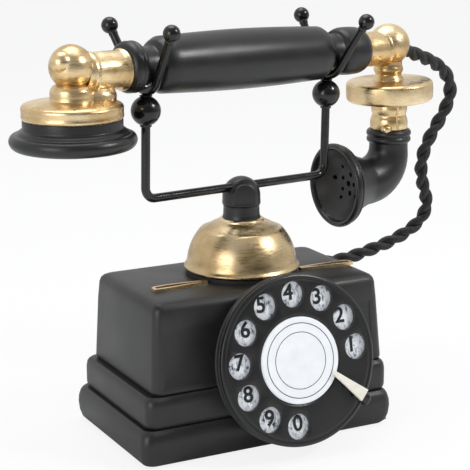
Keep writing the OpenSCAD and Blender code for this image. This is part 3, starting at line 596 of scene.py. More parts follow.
def dress(piece, where, body, slot, nodes=(), material=None, smooth=40):
    """Places and smooths a piece, gives it its finish and lets it ride on its body."""
    place(piece, where)
    bpy.ops.object.shade_smooth_by_angle(angle=math.radians(smooth))
    piece.data.materials.clear()
    piece.data.materials.append(material or FINISHES[slot])
    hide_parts(*nodes)
    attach(piece, body)
    size = [side/MM for side in piece.dimensions]
    print("%-18s %6d faces, %5.1f x %5.1f x %5.1f mm"
          % (piece.name, len(piece.data.polygons), *size))


# %% [markdown]
# ## The case
# The real case is one casting: a bulging foot, a narrower step and a tall box with a soft
# pillow of a top, and a shallow recess in its front. Three bevelled boxes could be joined
# by Booleans, but their shoulders would come out hard and alike. Stacking rings gives the
# soft shoulders directly: a flat plate with rounded corners is extruded upwards ring by
# ring and scaled at each ring. Solidify then gives it its wall, and Booleans open it for
# the dial, the post and the hammer of the bell.

# %% Stacking rings
CASE_X, CASE_Y = -3.4, -1
CASE_CORNER = 4.5
CASE_WALL = 2.4
PANEL_EDGE, PANEL_DEPTH = 2.4, 0.6
FOOT, STEP = (126.8, 79, -1.9), (121.8, 73.5, -0.9)
BOX, COVER = (116.7, 69, 0.6), (112, 65, 0.2)


def stack(name, rings, corner):
    """A block through rings of (width, depth, middle x, inset, level), corners rounded."""
    piece = start(name, bpy.ops.mesh.primitive_plane_add, size=MM)
    sizes = [(w - 2*inset, d - 2*inset, x, z) for w, d, x, inset, z in rings]
    width, depth, middle, level = sizes[0]
    bpy.ops.object.mode_set(mode="EDIT")
    bpy.ops.mesh.select_mode(type="VERT")
    bpy.ops.mesh.select_all(action="SELECT")
    bpy.ops.transform.resize(value=(width, depth, 1))
    bpy.ops.transform.translate(value=(middle*MM, 0, level*MM))
    bpy.ops.mesh.bevel(offset=corner*MM, affect="VERTICES", segments=5)
    for (w0, d0, x0, z0), (w1, d1, x1, z1) in zip(sizes, sizes[1:]):
        bpy.ops.mesh.extrude_region_move(
            TRANSFORM_OT_translate={"value": ((x1 - x0)*MM, 0, (z1 - z0)*MM)})
        bpy.ops.transform.resize(value=(w1/w0, d1/d0, 1), center_override=(x1*MM, 0, z1*MM))
    bpy.ops.object.mode_set(mode="OBJECT")
    return tidy(piece)


# %% Picking faces and cutting


def pick_faces(piece, wanted):
    """Selects the faces that a test of centre and normal accepts, in edit mode."""
    if bpy.context.mode != "OBJECT":
        bpy.ops.object.mode_set(mode="OBJECT")
    only(piece)
    bpy.ops.object.mode_set(mode="EDIT")
    bpy.ops.mesh.select_mode(type="FACE")
    bpy.ops.mesh.select_all(action="DESELECT")
    bpy.ops.object.mode_set(mode="OBJECT")
    for face in piece.data.polygons:
        face.select = wanted(face.center/MM, face.normal)
    bpy.ops.object.mode_set(mode="EDIT")


def carve(piece, tool):
    """Cuts a closed tool shape out of a piece."""
    modify(piece, "BOOLEAN", object=tool, operation="DIFFERENCE", solver="EXACT")
    bpy.data.objects.remove(tool)
    return piece


def rod(name, radius, low, high, where=IN_PLACE, sides=48):
    """A plain round bar along Z, used as a cutter or as the core of a piece."""
    bar = start(name, bpy.ops.mesh.primitive_cylinder_add, vertices=sides, radius=radius*MM,
                depth=(high - low)*MM, location=(0, 0, (low + high)/2*MM))
    return place(bar, where)


# %% Case skin
case = stack("case_shell", [
    (*FOOT, 2.6, 0.6), (*FOOT, 1.3, 2), (*FOOT, 0.4, 5), (*FOOT, 0, 9), (*FOOT, 0.2, 12),
    (*FOOT, 0.8, 14.4), (*FOOT, 1.6, 15.9), (*FOOT, 2.5, 16.7),
    (*STEP, 0.9, 16.6), (*STEP, 0.2, 17.8), (*STEP, 0, 19.2), (*STEP, 0, 26.5),
    (*STEP, 0.3, 28.8), (*STEP, 0.9, 30), (*STEP, 1.8, 30.8),
    (*BOX, 0.8, 30.6), (*BOX, 0.15, 31.8), (*BOX, 0.1, 32.6), (*COVER, -0.6, 60.4),
    (*COVER, -0.2, 65),
    (*COVER, 0, 67.6), (*COVER, 0.5, 69.3), (*COVER, 1.5, 70.5), (*COVER, 3, 71.2),
    (*COVER, 5, 71.55), (*COVER, 9, 71.85), (*COVER, 15, 72)], CASE_CORNER)
pick_faces(case, lambda c, n: n.y < -0.9 and 40 < c.z < 50)
bpy.ops.mesh.inset(thickness=PANEL_EDGE*MM, depth=-PANEL_DEPTH*MM)
pick_faces(case, lambda c, n: c.z < 0.7 and n.z < -0.5)
bpy.ops.mesh.delete(type="FACE")
bpy.ops.object.mode_set(mode="OBJECT")
modify(case, "SOLIDIFY", thickness=CASE_WALL*MM, offset=-1)
place(case, shift(CASE_X, CASE_Y, 0))

# %% Openings of the case
CUP_R, POST_R = 24, 8.1
HAMMER_X, HAMMER_SLOT = 17.5, (10, 6, 20)
carve(case, rod("dial_hole", CUP_R, -32, 4, ON_DIAL))
carve(case, rod("post_hole", POST_R, 60, 80))
hammer_slot = start("hammer_slot", bpy.ops.mesh.primitive_cube_add, size=MM)
carve(case, place(hammer_slot, shift(HAMMER_X, 0, 70) @ stretch(*HAMMER_SLOT)))
dress(case, IN_PLACE, "base", "case_black", ["housing"], smooth=35)

# %% [markdown]
# ## The gold line on the case's top
# A thin leaf-shaped loop of gold runs out from the gong on each side. A bevelled curve
# would make it a round wire, but the real line is a flat raised band. So its outline is a
# chain of points filled with one face; an inset leaves the loop, and the extrude gives it
# its height.

# %% Gold loops
LOOP_LEVEL, LOOP_WIDTH, LOOP_Y = 71.8, 1.35, -12
LEAF = [(24, -1.4), (30, -2), (37, -2.7), (44, -3.3), (49, -3.5), (51, -3), (51, 0.4),
        (49.4, 1.8), (44, 2.5), (37, 2.2), (30, 1.7), (24, 1.3)]


def flat_ring(name, outline, level, width, height):
    """A closed flat outline filled, inset, opened in the middle and raised."""
    piece = chain(name, [(x*MM, y*MM, level*MM) for x, y in outline])
    bpy.ops.mesh.select_all(action="SELECT")
    bpy.ops.mesh.edge_face_add()
    bpy.ops.mesh.inset(thickness=width*MM)
    bpy.ops.mesh.delete(type="FACE")
    bpy.ops.mesh.select_all(action="SELECT")
    bpy.ops.mesh.extrude_region_move(TRANSFORM_OT_translate={"value": (0, 0, height*MM)})
    bpy.ops.object.mode_set(mode="OBJECT")
    return tidy(piece)


loops = [flat_ring("gold_loop", [(side*x, y + LOOP_Y) for x, y in LEAF],
                   LOOP_LEVEL, LOOP_WIDTH, LOOP_WIDTH) for side in (-1, 1)]
dress(join("gold_loops", loops), IN_PLACE, "base", "brass", ["top_trim"])

# %% [markdown]
# ## The gong and the post
# A gong is spun from sheet over a form: a thin dome with a flared lip. A squashed sphere
# has neither the lip nor the thickness, so the section, outer line and inner line, is one
# closed outline for the lathe. The ring nut on the crown and the plain tube of the post
# are turned in real life too, and are made the same way.

# %% Gong, ring nut and post tube
DOME_Z, DOME_R, DOME_INSIDE, CROWN = 75.4, 25.3, 23.9, 42
GONG_BORE, ROD_BORE = 8.12, 3.05
gong = lathe("gong_dome", [(24.2, 74.4), (26.6, 74.4, 0.4), (26.6, 75.3, 0.3), (25.7, 76.3, 0.8)]
             + arc(0, DOME_Z, DOME_R, 6, CROWN, 16)
             + [(16.6, 93.1, 1.5), (13.6, 94.9, 2), (10.2, 96.1, 1), (GONG_BORE, 96.4),
                (GONG_BORE, 95), (12.5, 93.6, 2), (15.4, 91.8, 1.5)]
             + arc(0, DOME_Z, DOME_INSIDE, CROWN, 2, 16), steps=128)
dress(gong, IN_PLACE, "base", "brass", ["gong"], material=spun_gold, smooth=50)
nut = lathe("gong_ring_nut", [(GONG_BORE, 95.6), (10.5, 95.6, 0.4), (10.2, 96.9, 0.5),
                              (9, 97.3, 0.3), (GONG_BORE, 97.3)])
dress(nut, IN_PLACE, "base", "brass", ["gong_nut"])
post = lathe("post_sleeve", [(ROD_BORE, 56), (POST_R, 56, 0.4), (POST_R, 97.1), (8.9, 97.2, 0.3),
                             (8.4, 98.6, 0.8), (8.25, 102.6, 0.3), (8.5, 103.3, 0.3),
                             (6.05, 103.3), (6.05, 59), (ROD_BORE, 59)])
dress(post, IN_PLACE, "base", "turned_black", ["post_tube"])

# %% [markdown]
# ## The moving head of the post
# The cradle is clamped in this head, which sinks under the handset's weight: a turned
# dome with an arched flat cheek on one side. Cutting a flat into the dome would leave a
# hollow, while the real cheek stands proud. So the arch is a filled outline with a
# thickness and soft edges, joined to the dome.

# %% Post head and its cheek
CHEEK_Y, CHEEK_R, CHEEK_TURN = -8.9, 5.2, -30


def slab(name, corners, push, edge):
    """A flat outline filled, pushed out to a thickness and softened along its edges."""
    piece = chain(name, [tuple(c*MM for c in corner) for corner in corners])
    bpy.ops.mesh.select_all(action="SELECT")
    bpy.ops.mesh.edge_face_add()
    bpy.ops.mesh.extrude_region_move(
        TRANSFORM_OT_translate={"value": tuple(p*MM for p in push)})
    bpy.ops.object.mode_set(mode="OBJECT")
    return modify(tidy(piece), "BEVEL", width=edge*MM, segments=3, limit_method="ANGLE")


head = lathe("post_dome", [(0, 103.5), (8.75, 103.5, 0.35), (8.8, 104.6, 0.6), (8.7, 106)]
             + arc(0, 107.6, 8.7, 0, 90, 14))
arch = [(-CHEEK_R, 104.4), (CHEEK_R, 104.4)] + arc(0, 108.6, CHEEK_R, 0, 180, 16)
cheek = slab("cheek", [(x, CHEEK_Y, z) for x, z in arch], (0, 4, 0), 0.35)
place(cheek, turn(CHEEK_TURN, "Z"))
dress(join("post_dome", [head, cheek]), UPRIGHT, "cradle", "turned_black", ["post_head"])

# %% [markdown]
# ## The cradle's wires
# The bar and both uprights are one bent wire, and each fork is another. Extruding a circle
# would kink at the bends, so a wire is a curve through its corners, each corner rounded to
# the bending tool's radius, swept as a tube like the strands of the cord. The second fork
# is a copy of the first.

# %% Bent wires
HALF_CRADLE = 52.5
WIRE_Z, WIRE_END, WIRE_R = 112.5, 148.6, 2
BALL_Z, FORK_Z, FORK_R, FORK_TILT = 151.2, 159.67, 1.9, 7
FORK_APEX, TIP_OUT, TIP_UP = -8.87, 22.2, 26.66
SIDES = (("left", -1), ("right", 1))


def bent(corners, radius, steps=10):
    """Points along straight lines whose corners are rounded to a radius."""
    corners = [Vector(c) for c in corners]
    points = [corners[0]]
    for before, here, after in zip(corners, corners[1:], corners[2:]):
        back, ahead = (before - here).normalized(), (after - here).normalized()
        half = back.angle(ahead)/2
        reach = radius/math.tan(half)
        centre = here + (back + ahead).normalized()*radius/math.sin(half)
        start, end = here + back*reach - centre, here + ahead*reach - centre
        sweep = start.angle(end)
        for k in range(steps + 1):
            t = k/steps
            points.append(centre + (start*math.sin((1 - t)*sweep)
                                    + end*math.sin(t*sweep))/math.sin(sweep))
    return points + [corners[-1]]


def at_upright(way):
    """The foot of an upright of the cradle: way is -1 on the left and 1 on the right."""
    return IN_CRADLE @ shift(way*HALF_CRADLE, 0, 0)


bow = wire("cradle_bow", bent([(-HALF_CRADLE, 0, WIRE_END), (-HALF_CRADLE, 0, WIRE_Z),
                               (HALF_CRADLE, 0, WIRE_Z), (HALF_CRADLE, 0, WIRE_END)], 5), WIRE_R)
dress(bow, IN_CRADLE, "cradle", "gloss_black", ["cradle_wire"])
bent_fork = wire("fork", bent([(0, -TIP_OUT, TIP_UP), (0, 0, FORK_APEX),
                               (0, TIP_OUT, TIP_UP)], 10, steps=14), FORK_R)
for side, way in SIDES:
    dress(copy_of(bent_fork, IN_PLACE, "fork_" + side),
          at_upright(way) @ shift(0, 0, FORK_Z) @ turn(way*FORK_TILT, "Y"),
          "cradle", "gloss_black", ["fork_" + side])
bpy.data.objects.remove(bent_fork)

# %% [markdown]
# ## The cradle's balls
# A large ball hides each joint of upright and fork, and a small one ends every prong so
# that it can't scratch. A plain sphere would look stuck on; the real ones are turned and
# keep a short neck where the wire enters. One of each is turned on the lathe and copied.

# %% Large balls
turned_ball = lathe("ball", [(0, 144.2), (2.5, 144.2, 0.3), (2.6, 145, 0.3)]
                    + arc(0, BALL_Z, 6.55, -66, 70, 20)
                    + [(2.9, 157.5, 0.2), (2.7, 158, 0.3), (0, 158)], steps=48)
for side, way in SIDES:
    dress(copy_of(turned_ball, IN_PLACE, "ball_" + side), at_upright(way),
          "cradle", "gloss_black", ["ball_" + side])
bpy.data.objects.remove(turned_ball)

# %% Small balls on the prongs
PRONG_LEAN = 32
tip = lathe("fork_tip", [(0, -4.6), (1.95, -4.6), (2.1, -4.2, 0.3), (2, -3.4, 0.3)]
            + arc(0, 0, 3.7, -58, 90, 16), steps=36)
tip_places = [at_upright(way) @ shift(0, 0, FORK_Z) @ turn(way*FORK_TILT, "Y")
              @ shift(0, lean*TIP_OUT, TIP_UP) @ turn(-lean*PRONG_LEAN, "X")
              for side, way in SIDES for lean in (-1, 1)]
dress(repeat("fork_end_balls", tip, tip_places), IN_PLACE,
      "cradle", "gloss_black", ["fork_tips"])

# %% [markdown]
# ## The handset's grip
# The grip is turned in one piece: a long barrel that swells in the middle, a waist at each
# end that lies in its fork, and a soft double collar where the brass begins. The collar on
# the horn's side is the longer one. Stacked cylinders would show a seam at each change, so
# the whole outline is drawn once and spun, and the swell is half a cosine wave.

# %% Grip
EAR_END, HORN_END = -65.08, 73.08
barrel = [(12.4 + 1.1*math.cos(math.pi/2*i/10), 45.4*i/10) for i in range(-10, 11)]
grip = lathe("grip_barrel", [(4, EAR_END), (9.4, EAR_END, 0.8), (10.9, -63.6, 0.9),
                             (11.2, -62, 0.8), (10.8, -60.9, 0.4), (11.3, -59.6, 0.9),
                             (10.3, -57.7, 0.9), (8.4, -57, 0.7), (8.25, -50, 0.9),
                             (10.9, -48.3, 0.9)]
             + barrel + [(10.9, 48.3, 0.9), (8.25, 50, 0.9), (8.4, 57, 0.7), (10.2, 57.8, 0.9),
                         (11.2, 60.4, 1.6), (11.3, 66, 2), (11, 70.5, 1.6),
                         (9.6, HORN_END, 0.9), (4, HORN_END)], steps=96)
dress(grip, ALONG_HANDSET, "handset", "turned_black", ["grip"], smooth=50)

# %% [markdown]
# ## The ear side's brass
# The brass here is finished by hand: a sleeve with a bright flared rim, a ball knuckle
# with a small boss, a waisted neck, and a web of metal that runs from the sleeve down to
# the receiver. Sculpting would lose the turned look, so each form is turned on the lathe
# by itself, squashed where the real one is flat, and sunk into its neighbours.

# %% Ear sleeve
SLEEVE_DROP = 0.8
ear_sleeve = lathe("ear_sleeve_brass", [(4.1, EAR_END), (9.1, EAR_END, 0.3), (9, -66.2, 0.4),
                                        (8.2, -67.2, 0.7), (8.35, -74, 4), (8.1, -80.6, 0.8),
                                        (8.7, -82, 0.4), (8.6, -83.4, 0.4), (7.9, -84.2, 0.4),
                                        (7.6, -86), (4.1, -86)])
dress(ear_sleeve, IN_CRADLE @ shift(0, 0, AXIS_Z - SLEEVE_DROP) @ turn(90, "Y"),
      "handset", "brass", ["ear_sleeve"])

# %% Ear knuckle and its web
EAR_X, EAR_Z = -90.48, 173.92
AT_EAR = UPRIGHT @ shift(EAR_X, 0, 0)


def blob(name, where, halves, steps=48, points=16):
    """A turned ball squashed to three half sizes, at its place."""
    ball = lathe(name, arc(0, 0, 1, -90, 90, points), steps=steps)
    return place(ball, shift(*where) @ stretch(*halves))


knuckle = lathe("ear_knuckle", [(0, 159), (10, 159, 0.5), (9.2, 161.2, 0.8), (9.3, 163.2, 1),
                                (8.9, 165, 0.8), (7.7, 166.4, 0.7)]
                + arc(0, EAR_Z, 9.4, -48, 15, 9) + [(9, EAR_Z + 2.8)]
                + arc(0, EAR_Z, 9.35, 21, 90, 10))
boss = blob("ear_boss", (-6, -2.4, EAR_Z + 2.6), (4.8, 4.8, 4.8), 32, 12)
ridge = blob("ear_ridge", (8.4, 0, 170), (2.6, 8.9, 9.4))
saddle = blob("ear_saddle", (11.5, 0, 160.6), (9.4, 8.6, 6))
web = lathe("ear_web", [(0, 158.8), (5.4, 158.8, 0.5), (4.2, 161.4, 1.5), (4.6, 164.5, 1),
                        (0, 166)])
place(web, shift(14.6, -1, 0) @ stretch(1, 1.4, 1))
dress(join("ear_knuckle", [knuckle, boss, ridge, saddle, web]), AT_EAR,
      "handset", "brass", ["ear_elbow"])

# %% [markdown]
# ## The receiver
# The receiver is a brass shell over a black band and a wide black cap that flares like a
# soft hat brim, with seven small sound holes underneath. All three are turned; only the
# holes are drilled, with one pin that is copied round a circle and cut out in one go.

# %% Receiver shell, band and cap
SHELL_TOP, BAND_TOP, CAP_TOP, CUP_RAISE = 159.02, 151.02, 148.02, 1.5
AT_CUP = AT_EAR @ shift(0, 0, CUP_RAISE)


def around(radius, degrees):
    """A move to a point on a circle about Z, as a matrix."""
    angle = math.radians(degrees)
    return shift(radius*math.cos(angle), radius*math.sin(angle), 0)


shell = lathe("ear_shell", [(3, SHELL_TOP), (9, SHELL_TOP, 0.5), (19.2, 157.7, 1.2),
                            (20.9, 157, 0.6), (21.4, 156, 0.5), (21.2, 153.4, 1),
                            (21.45, 152, 0.5), (20.9, BAND_TOP, 0.3), (18.4, BAND_TOP),
                            (18.4, 155), (3, 155)], steps=96)
dress(shell, AT_CUP, "handset", "brass", ["receiver_shell"])
band = lathe("ear_band", [(17.4, CAP_TOP), (21, CAP_TOP), (21, 151.0, 0.2), (17.4, 151.0)],
             steps=96)
dress(band, AT_CUP, "handset", "turned_black", ["receiver_band"])
ear_cap = lathe("ear_flare", [(0, CAP_TOP), (21, CAP_TOP), (21, 147, 0.5), (22.4, 146.4, 0.7),
                              (23.6, 144.9, 0.6), (25.6, 144.8, 1.1), (26.8, 142.9, 1.4),
                              (26.7, 140.9, 1.4), (25.2, 138.9, 1.3), (22.4, 138.1, 0.8),
                              (19.6, 138.6, 0.6), (5.4, 142.6, 0.5), (5, 145.02), (0, 145.02)],
                steps=96)
pin = rod("pin", 0.8, 144, 147.4, sides=12)
carve(ear_cap, repeat("pins", pin, [IN_PLACE] + [around(3, 60*k) for k in range(6)]))
dress(ear_cap, AT_CUP, "handset", "turned_black", ["ear_cap"])

# %% [markdown]
# ## The mouth side's brass
# The mouth's side mirrors the ear's, but its disc is thicker and sits a little askew, as a
# hand-fitted one does, and a drop of gold has run down its stem. The pieces are turned;
# the run is a thin wire with a squashed ball at its end.

# %% Mouth sleeve and knuckle
HORN_X, DISC_TOP = 93.98, 151.72
AT_MOUTH = UPRIGHT @ shift(HORN_X, 0, 0)
mouth_sleeve = lathe("mouth_sleeve_brass", [(4.1, HORN_END), (8.9, HORN_END, 0.3), (8.8, 74, 0.4),
                                            (8.2, 75, 0.7), (8.4, 81, 3), (8.2, 88), (4.1, 88)])
dress(mouth_sleeve, ALONG_HANDSET, "handset", "brass", ["mouth_sleeve"])
elbow = lathe("mouth_knuckle", arc(0, 168.8, 10.1, -90, 90, 24))
barrel_end = blob("barrel_end", (-5, 0, 167.6), (5.6, 8.8, 9.6), 72, 20)
neck = lathe("neck", [(0, DISC_TOP - 0.4), (7.9, DISC_TOP - 0.4, 0.4), (7.3, DISC_TOP + 1, 0.6),
                      (6.1, 154.6, 0.6), (7.4, 156.8, 1.1), (6.6, 159, 0.6), (6.6, 161),
                      (0, 161)])
dress(join("mouth_knuckle", [elbow, barrel_end, neck]), AT_MOUTH @ shift(-1, 0, 0),
      "handset", "brass", ["mouth_elbow"])

# %% Disc, stem and collar
DISC_MIDDLE, DISC_ASKEW, RING_TOP = 146.7, -2.2, 127.62
disc = lathe("mouth_disc", [(5, 141.62), (19.8, 141.62, 0.7), (21, 142.7, 0.7), (21.25, 146.6, 3),
                            (21, 150.5, 0.7), (19.7, 151.5, 0.6), (9, 151.9), (3, 151.9),
                            (3, 149.7), (18.2, 149.7), (18.2, 143.6), (5, 143.6)], steps=96)
dress(disc, AT_MOUTH @ shift(0, 0, DISC_MIDDLE) @ turn(DISC_ASKEW, "Y")
      @ shift(0, 0, -DISC_MIDDLE), "handset", "brass", ["transmitter_case"])
stem = lathe("horn_stem_brass", [(5, RING_TOP), (8.9, RING_TOP, 0.4), (9.2, 129.6, 1),
                                 (9.1, 132.4, 1.2), (8.1, 134.6, 0.8), (8.9, 137.2, 1.3),
                                 (8.6, 139.6, 1), (8.2, 142), (5, 142)])
run = wire("run", [(-2.6, -8.4, 141), (-2.7, -8.6, 137.6), (-2.5, -7.9, 134.6),
                   (-2.8, -8.7, 131.4), (-2.7, -8.8, 128.4)], 0.55)
drop = blob("drop", (-6.6, -5.4, 128.6), (3.2, 2.4, 2.4), 32, 12)
dress(join("horn_stem_brass", [stem, run, drop]), AT_MOUTH, "handset", "brass", ["horn_stem"])
collar = lathe("horn_ring", [(7.7, 121.12), (9.9, 121.12, 0.5), (10.9, 122.2, 0.8),
                             (10.7, 123.6, 0.5), (10.1, 124.3, 0.4), (10.9, 125, 0.6),
                             (10.9, 126.6, 0.7), (10, RING_TOP, 0.4), (7.7, RING_TOP)])
dress(collar, AT_MOUTH, "handset", "turned_black", ["horn_collar"])

# %% [markdown]
# ## The horn
# The horn hangs down, turns through a right angle and swells to its mouth. Bridging
# circles would need one more for each step of the bend, so it is one swept curve whose
# points carry their own radius, and Solidify gives it its wall. Its rolled rim is a lathe
# piece, because a sweep ends in a plain cut.

# %% Horn
HORN_TURN, HORN_Z, HORN_BEND, MOUTH_L = 7, 102.8, 14.5, 33.6
NECK_R, THROAT_R, BEND_R, BELL_R, FLARE = 9.5, 9.6, 11.5, 18.8, 1.3
AT_HORN = AT_MOUTH @ turn(-HORN_TURN, "Z")
AT_BELL = shift(0, 0, HORN_Z) @ turn(-90, "Y")
line, radii = [(0, 0, 122.3), (0, 0, 119)], [NECK_R, NECK_R]
for k in range(13):
    a = math.pi/2*k/12
    line.append((HORN_BEND*(math.cos(a) - 1), 0, HORN_Z + HORN_BEND*(1 - math.sin(a))))
    radii.append(THROAT_R + (BEND_R - THROAT_R)*math.sin(a))
for k in range(1, 13):
    u = k/12
    line.append((-HORN_BEND - (MOUTH_L - HORN_BEND - 2.6)*u, 0, HORN_Z))
    radii.append(BEND_R + (BELL_R - BEND_R)*u**FLARE)
horn = wire("horn_bell", line, 1, radii=radii, caps=False, sides=10)
modify(horn, "SOLIDIFY", thickness=1.6*MM, offset=-1)
rim = lathe("rim", [(out, MOUTH_L - back, *fillet) for out, back, *fillet in [
    (17.6, 5.6), (19.2, 5.4, 0.4), (19.7, 4.4, 0.5), (19.3, 3.8, 0.3), (20.3, 3, 0.6),
    (20.4, 1.2, 0.8), (19.2, 0, 0.7), (17.9, 0.5, 0.5), (17.2, 1.8, 0.5)]], steps=96)
place(rim, AT_BELL)
dress(join("horn_bell", [horn, rim]), AT_HORN, "handset", "turned_black", ["horn"], smooth=50)

# %% [markdown]
# ## The pierced face
# Inside the mouth lies a bowl with eleven uneven holes, through which one speaks. A bump
# pattern would look flat from the side, so the bowl is turned and really drilled: one
# drill is copied, each copy scaled to its own hole.

# %% Pierced face in the horn's mouth
HOLES = [(0, 2.5, 1.5), (4.6, 60, 1.1), (5.2, 128, 1), (4.8, 200, 1.3), (4.6, 272, 1.1),
         (5.2, 335, 1.2), (8.6, 20, 0.9), (9, 78, 1.1), (8.4, 150, 0.9), (8.8, 236, 1),
         (9, 306, 0.9)]
face = lathe("mouth_face", [(out, MOUTH_L - back, *fillet) for out, back, *fillet in [
    (0, 9.6), (7, 9, 2), (13, 5.8, 2), (17.9, 1.5), (17.9, 2.9), (12.6, 7.2, 2),
    (6.6, 10.4, 2), (0, 11)]], steps=72, closed=False)
drill = rod("drill", 1, MOUTH_L - 14, MOUTH_L + 2, sides=14)
carve(face, repeat("drills", drill, [around(out, at) @ stretch(r, r, 1) for out, at, r in HOLES]))
dress(face, AT_HORN @ AT_BELL, "handset", "case_black", ["mouth_grille"])

# %% [markdown]
# ## The dial's fixed parts
# A cup stands through the case's front and carries the dial's pan, a shallow dish whose
# side shows as a grooved black band. In the pan lies the blotched enamel plate that is
# seen through the finger holes. All three are turned, in the dial's own frame, so that
# their outlines can be written as if the dial lay flat.

# %% Cup, pan and enamel plate
PLATE_TOP, PLATE_R, PLATE_BORE = -2.9, 36.18, 7
SHAFT_BORE = 3.05
cup = lathe("dial_cup", [(SHAFT_BORE, -26), (CUP_R, -26, 0.8), (CUP_R, -11), (30, -11, 0.6),
                         (30, -9), (21, -9), (21, -24), (SHAFT_BORE, -24)])
dress(cup, ON_DIAL, "base", "case_black", ["dial_mount"])
pan = lathe("dial_pan", [(SHAFT_BORE, -9), (36.6, -9, 0.8), (37.6, -8, 0.5), (38, -6.6, 0.4),
                         (37.5, -6, 0.3), (38, -5.4, 0.3), (38, -2.9, 0.4), (36.25, -2.9, 0.3),
                         (36.25, -7.4), (12, -7.4), (12, -4.4), (SHAFT_BORE, -4.4)], steps=128)
dress(pan, ON_DIAL, "base", "case_black", ["dial_case"])
plate = lathe("enamel_plate", [(PLATE_BORE, -4.4), (PLATE_R, -4.4), (PLATE_R, PLATE_TOP, 0.2),
                               (PLATE_BORE, PLATE_TOP, 0.2)], steps=128)
dress(plate, ON_DIAL, "base", "number_white", ["number_plate"])

# %% [markdown]
# ## The digits
# The digits are printed thick and black on the plate, each a little off the middle of its
# hole. A painted texture would blur up close. A text object gives clean outlines; a small
# bevel makes the strokes bolder, and the 9 is a 6 given half a turn.

# %% Digits
FIRST_HOLE, HOLE_PITCH, HOLE_RING = 4, 28.8, 29
HOLE_ANGLES = [FIRST_HOLE + i*HOLE_PITCH for i in range(10)]
DIGIT_SIZE, DIGIT_BOLD, DIGIT_LEVEL = 9.6, 0.22, PLATE_TOP + 0.06
digits = []
for i, (digit, angle) in enumerate(zip("1234567890", HOLE_ANGLES)):
    figure = start("digit", bpy.ops.object.text_add)
    figure.data.body = "6" if digit == "9" else digit
    figure.data.size = DIGIT_SIZE*MM
    figure.data.align_x, figure.data.align_y = "CENTER", "CENTER"
    figure.data.extrude = 0.02*MM
    figure.data.bevel_depth = DIGIT_BOLD*MM
    figure.data.bevel_resolution = 1
    bpy.ops.object.convert(target="MESH")
    across, up = (-0.9, 0.6) if i < 5 else (0.8, 0.9)
    digits.append(place(bpy.context.active_object,
                        around(HOLE_RING, angle) @ shift(across, up, DIGIT_LEVEL)
                        @ turn(180 if digit == "9" else 0, "Z")))
dress(join("dial_digits", digits), ON_DIAL, "base", "turned_black", material=ink)

# %% [markdown]
# ## The finger wheel
# The wheel is a thin turned disc with a groove near its rim and ten finger holes. The
# holes could be left out of a flat outline, but the groove needs the lathe; so the disc
# is turned first and drilled after it, as on a real bench, and a Bevel takes the burr off
# the holes.

# %% Finger wheel
HOLE_R = 5.75
wheel = lathe("finger_disc", [(SHAFT_BORE, -2.4), (36.8, -2.4, 0.5), (38, -1.8, 0.5),
                              (37.9, -0.7, 0.4), (36.6, 0, 0.5), (35.6, -0.25, 0.4),
                              (34.6, 0, 0.5), (20.2, 0, 0.3), (19.4, -0.4, 0.3),
                              (SHAFT_BORE, -0.4)], steps=144)
drill = rod("drill", HOLE_R, -3, 1, sides=40)
carve(wheel, repeat("drills", drill, [around(HOLE_RING, angle) for angle in HOLE_ANGLES]))
modify(wheel, "BEVEL", width=0.35*MM, segments=2, limit_method="ANGLE",
       angle_limit=math.radians(60))
dress(wheel, ON_DIAL, "dial", "turned_black", ["finger_wheel"])

# %% [markdown]
# ## The label
# A white disc fills the wheel's middle. Two thin printed rings are all that it carries
# here. They are real rings, six hundredths of a millimetre thick, so that they stay sharp
# at any distance.

# %% Label and its two printed rings
LABEL_LOW, LABEL_TOP, INK_LOW, INK_TOP = -0.4, 0.72, 0.7, 0.76
label = lathe("label_disc", [(SHAFT_BORE, LABEL_LOW), (19.1, LABEL_LOW), (19.15, 0.3, 0.2),
                             (18.6, LABEL_TOP, 0.3), (SHAFT_BORE, LABEL_TOP)], steps=96)
middle = rod("middle", 3.2, LABEL_LOW, LABEL_TOP)
dress(join("label_disc", [label, middle]), ON_DIAL, "dial", "label_white", ["dial_label"])
rings = [lathe("ring", [(r - w, INK_LOW), (r, INK_LOW), (r, INK_TOP), (r - w, INK_TOP)], steps=96)
         for r, w in ((16.6, 0.35), (12.6, 0.3))]
dress(join("label_rings", rings), ON_DIAL, "dial", "turned_black", material=ink)

# %% [markdown]
# ## The finger stop
# An ivory wedge lies over the wheel and catches the finger. It is held by a black arm
# that reaches over the rim to the pan, since the wheel turns under it. The wedge is a
# filled outline with a thickness; the arm is a bent wire, flattened by a scale.

# %% Finger stop and its arm
WEDGE_TILT, ARM_TILT, WEDGE_LOW = -41, -35, 1.1
wedge = [(0, -0.9), (8, -1.7), (19.4, -3), (19.4, 3), (8, 1.7), (0, 0.9)]
stop = slab("stop_tongue", [(x, y, WEDGE_LOW) for x, y in wedge], (0, 0, 1.7), 0.35)
dress(stop, ON_DIAL @ shift(15, -7.3, 0) @ turn(WEDGE_TILT, "Z"), "base", "ivory",
      ["finger_stop"])
arm = wire("stop_arm", bent([(31, 0, 0.9), (39.6, 0, 0.9), (39.6, 0, -7.5)], 1.2, steps=6), 0.9)
dress(arm, ON_DIAL @ turn(ARM_TILT, "Z") @ stretch(1, 2.6, 1), "base", "turned_black")

# %% [markdown]
# ## The world
# Black and gold show little but what they mirror. A white tent suits them: the world is
# white to the camera and in reflections from behind, and grey towards the front, so that
# curved metal has something dark to show. An even white world would leave it flat.

# %% World


def blended(tree, factor, first, second):
    """A Mix Shader between two shader outputs, driven by a factor."""
    mix = tree.nodes.new("ShaderNodeMixShader")
    tree.links.new(factor, mix.inputs["Fac"])
    tree.links.new(first, mix.inputs[1])
    tree.links.new(second, mix.inputs[2])
    return mix.outputs[0]


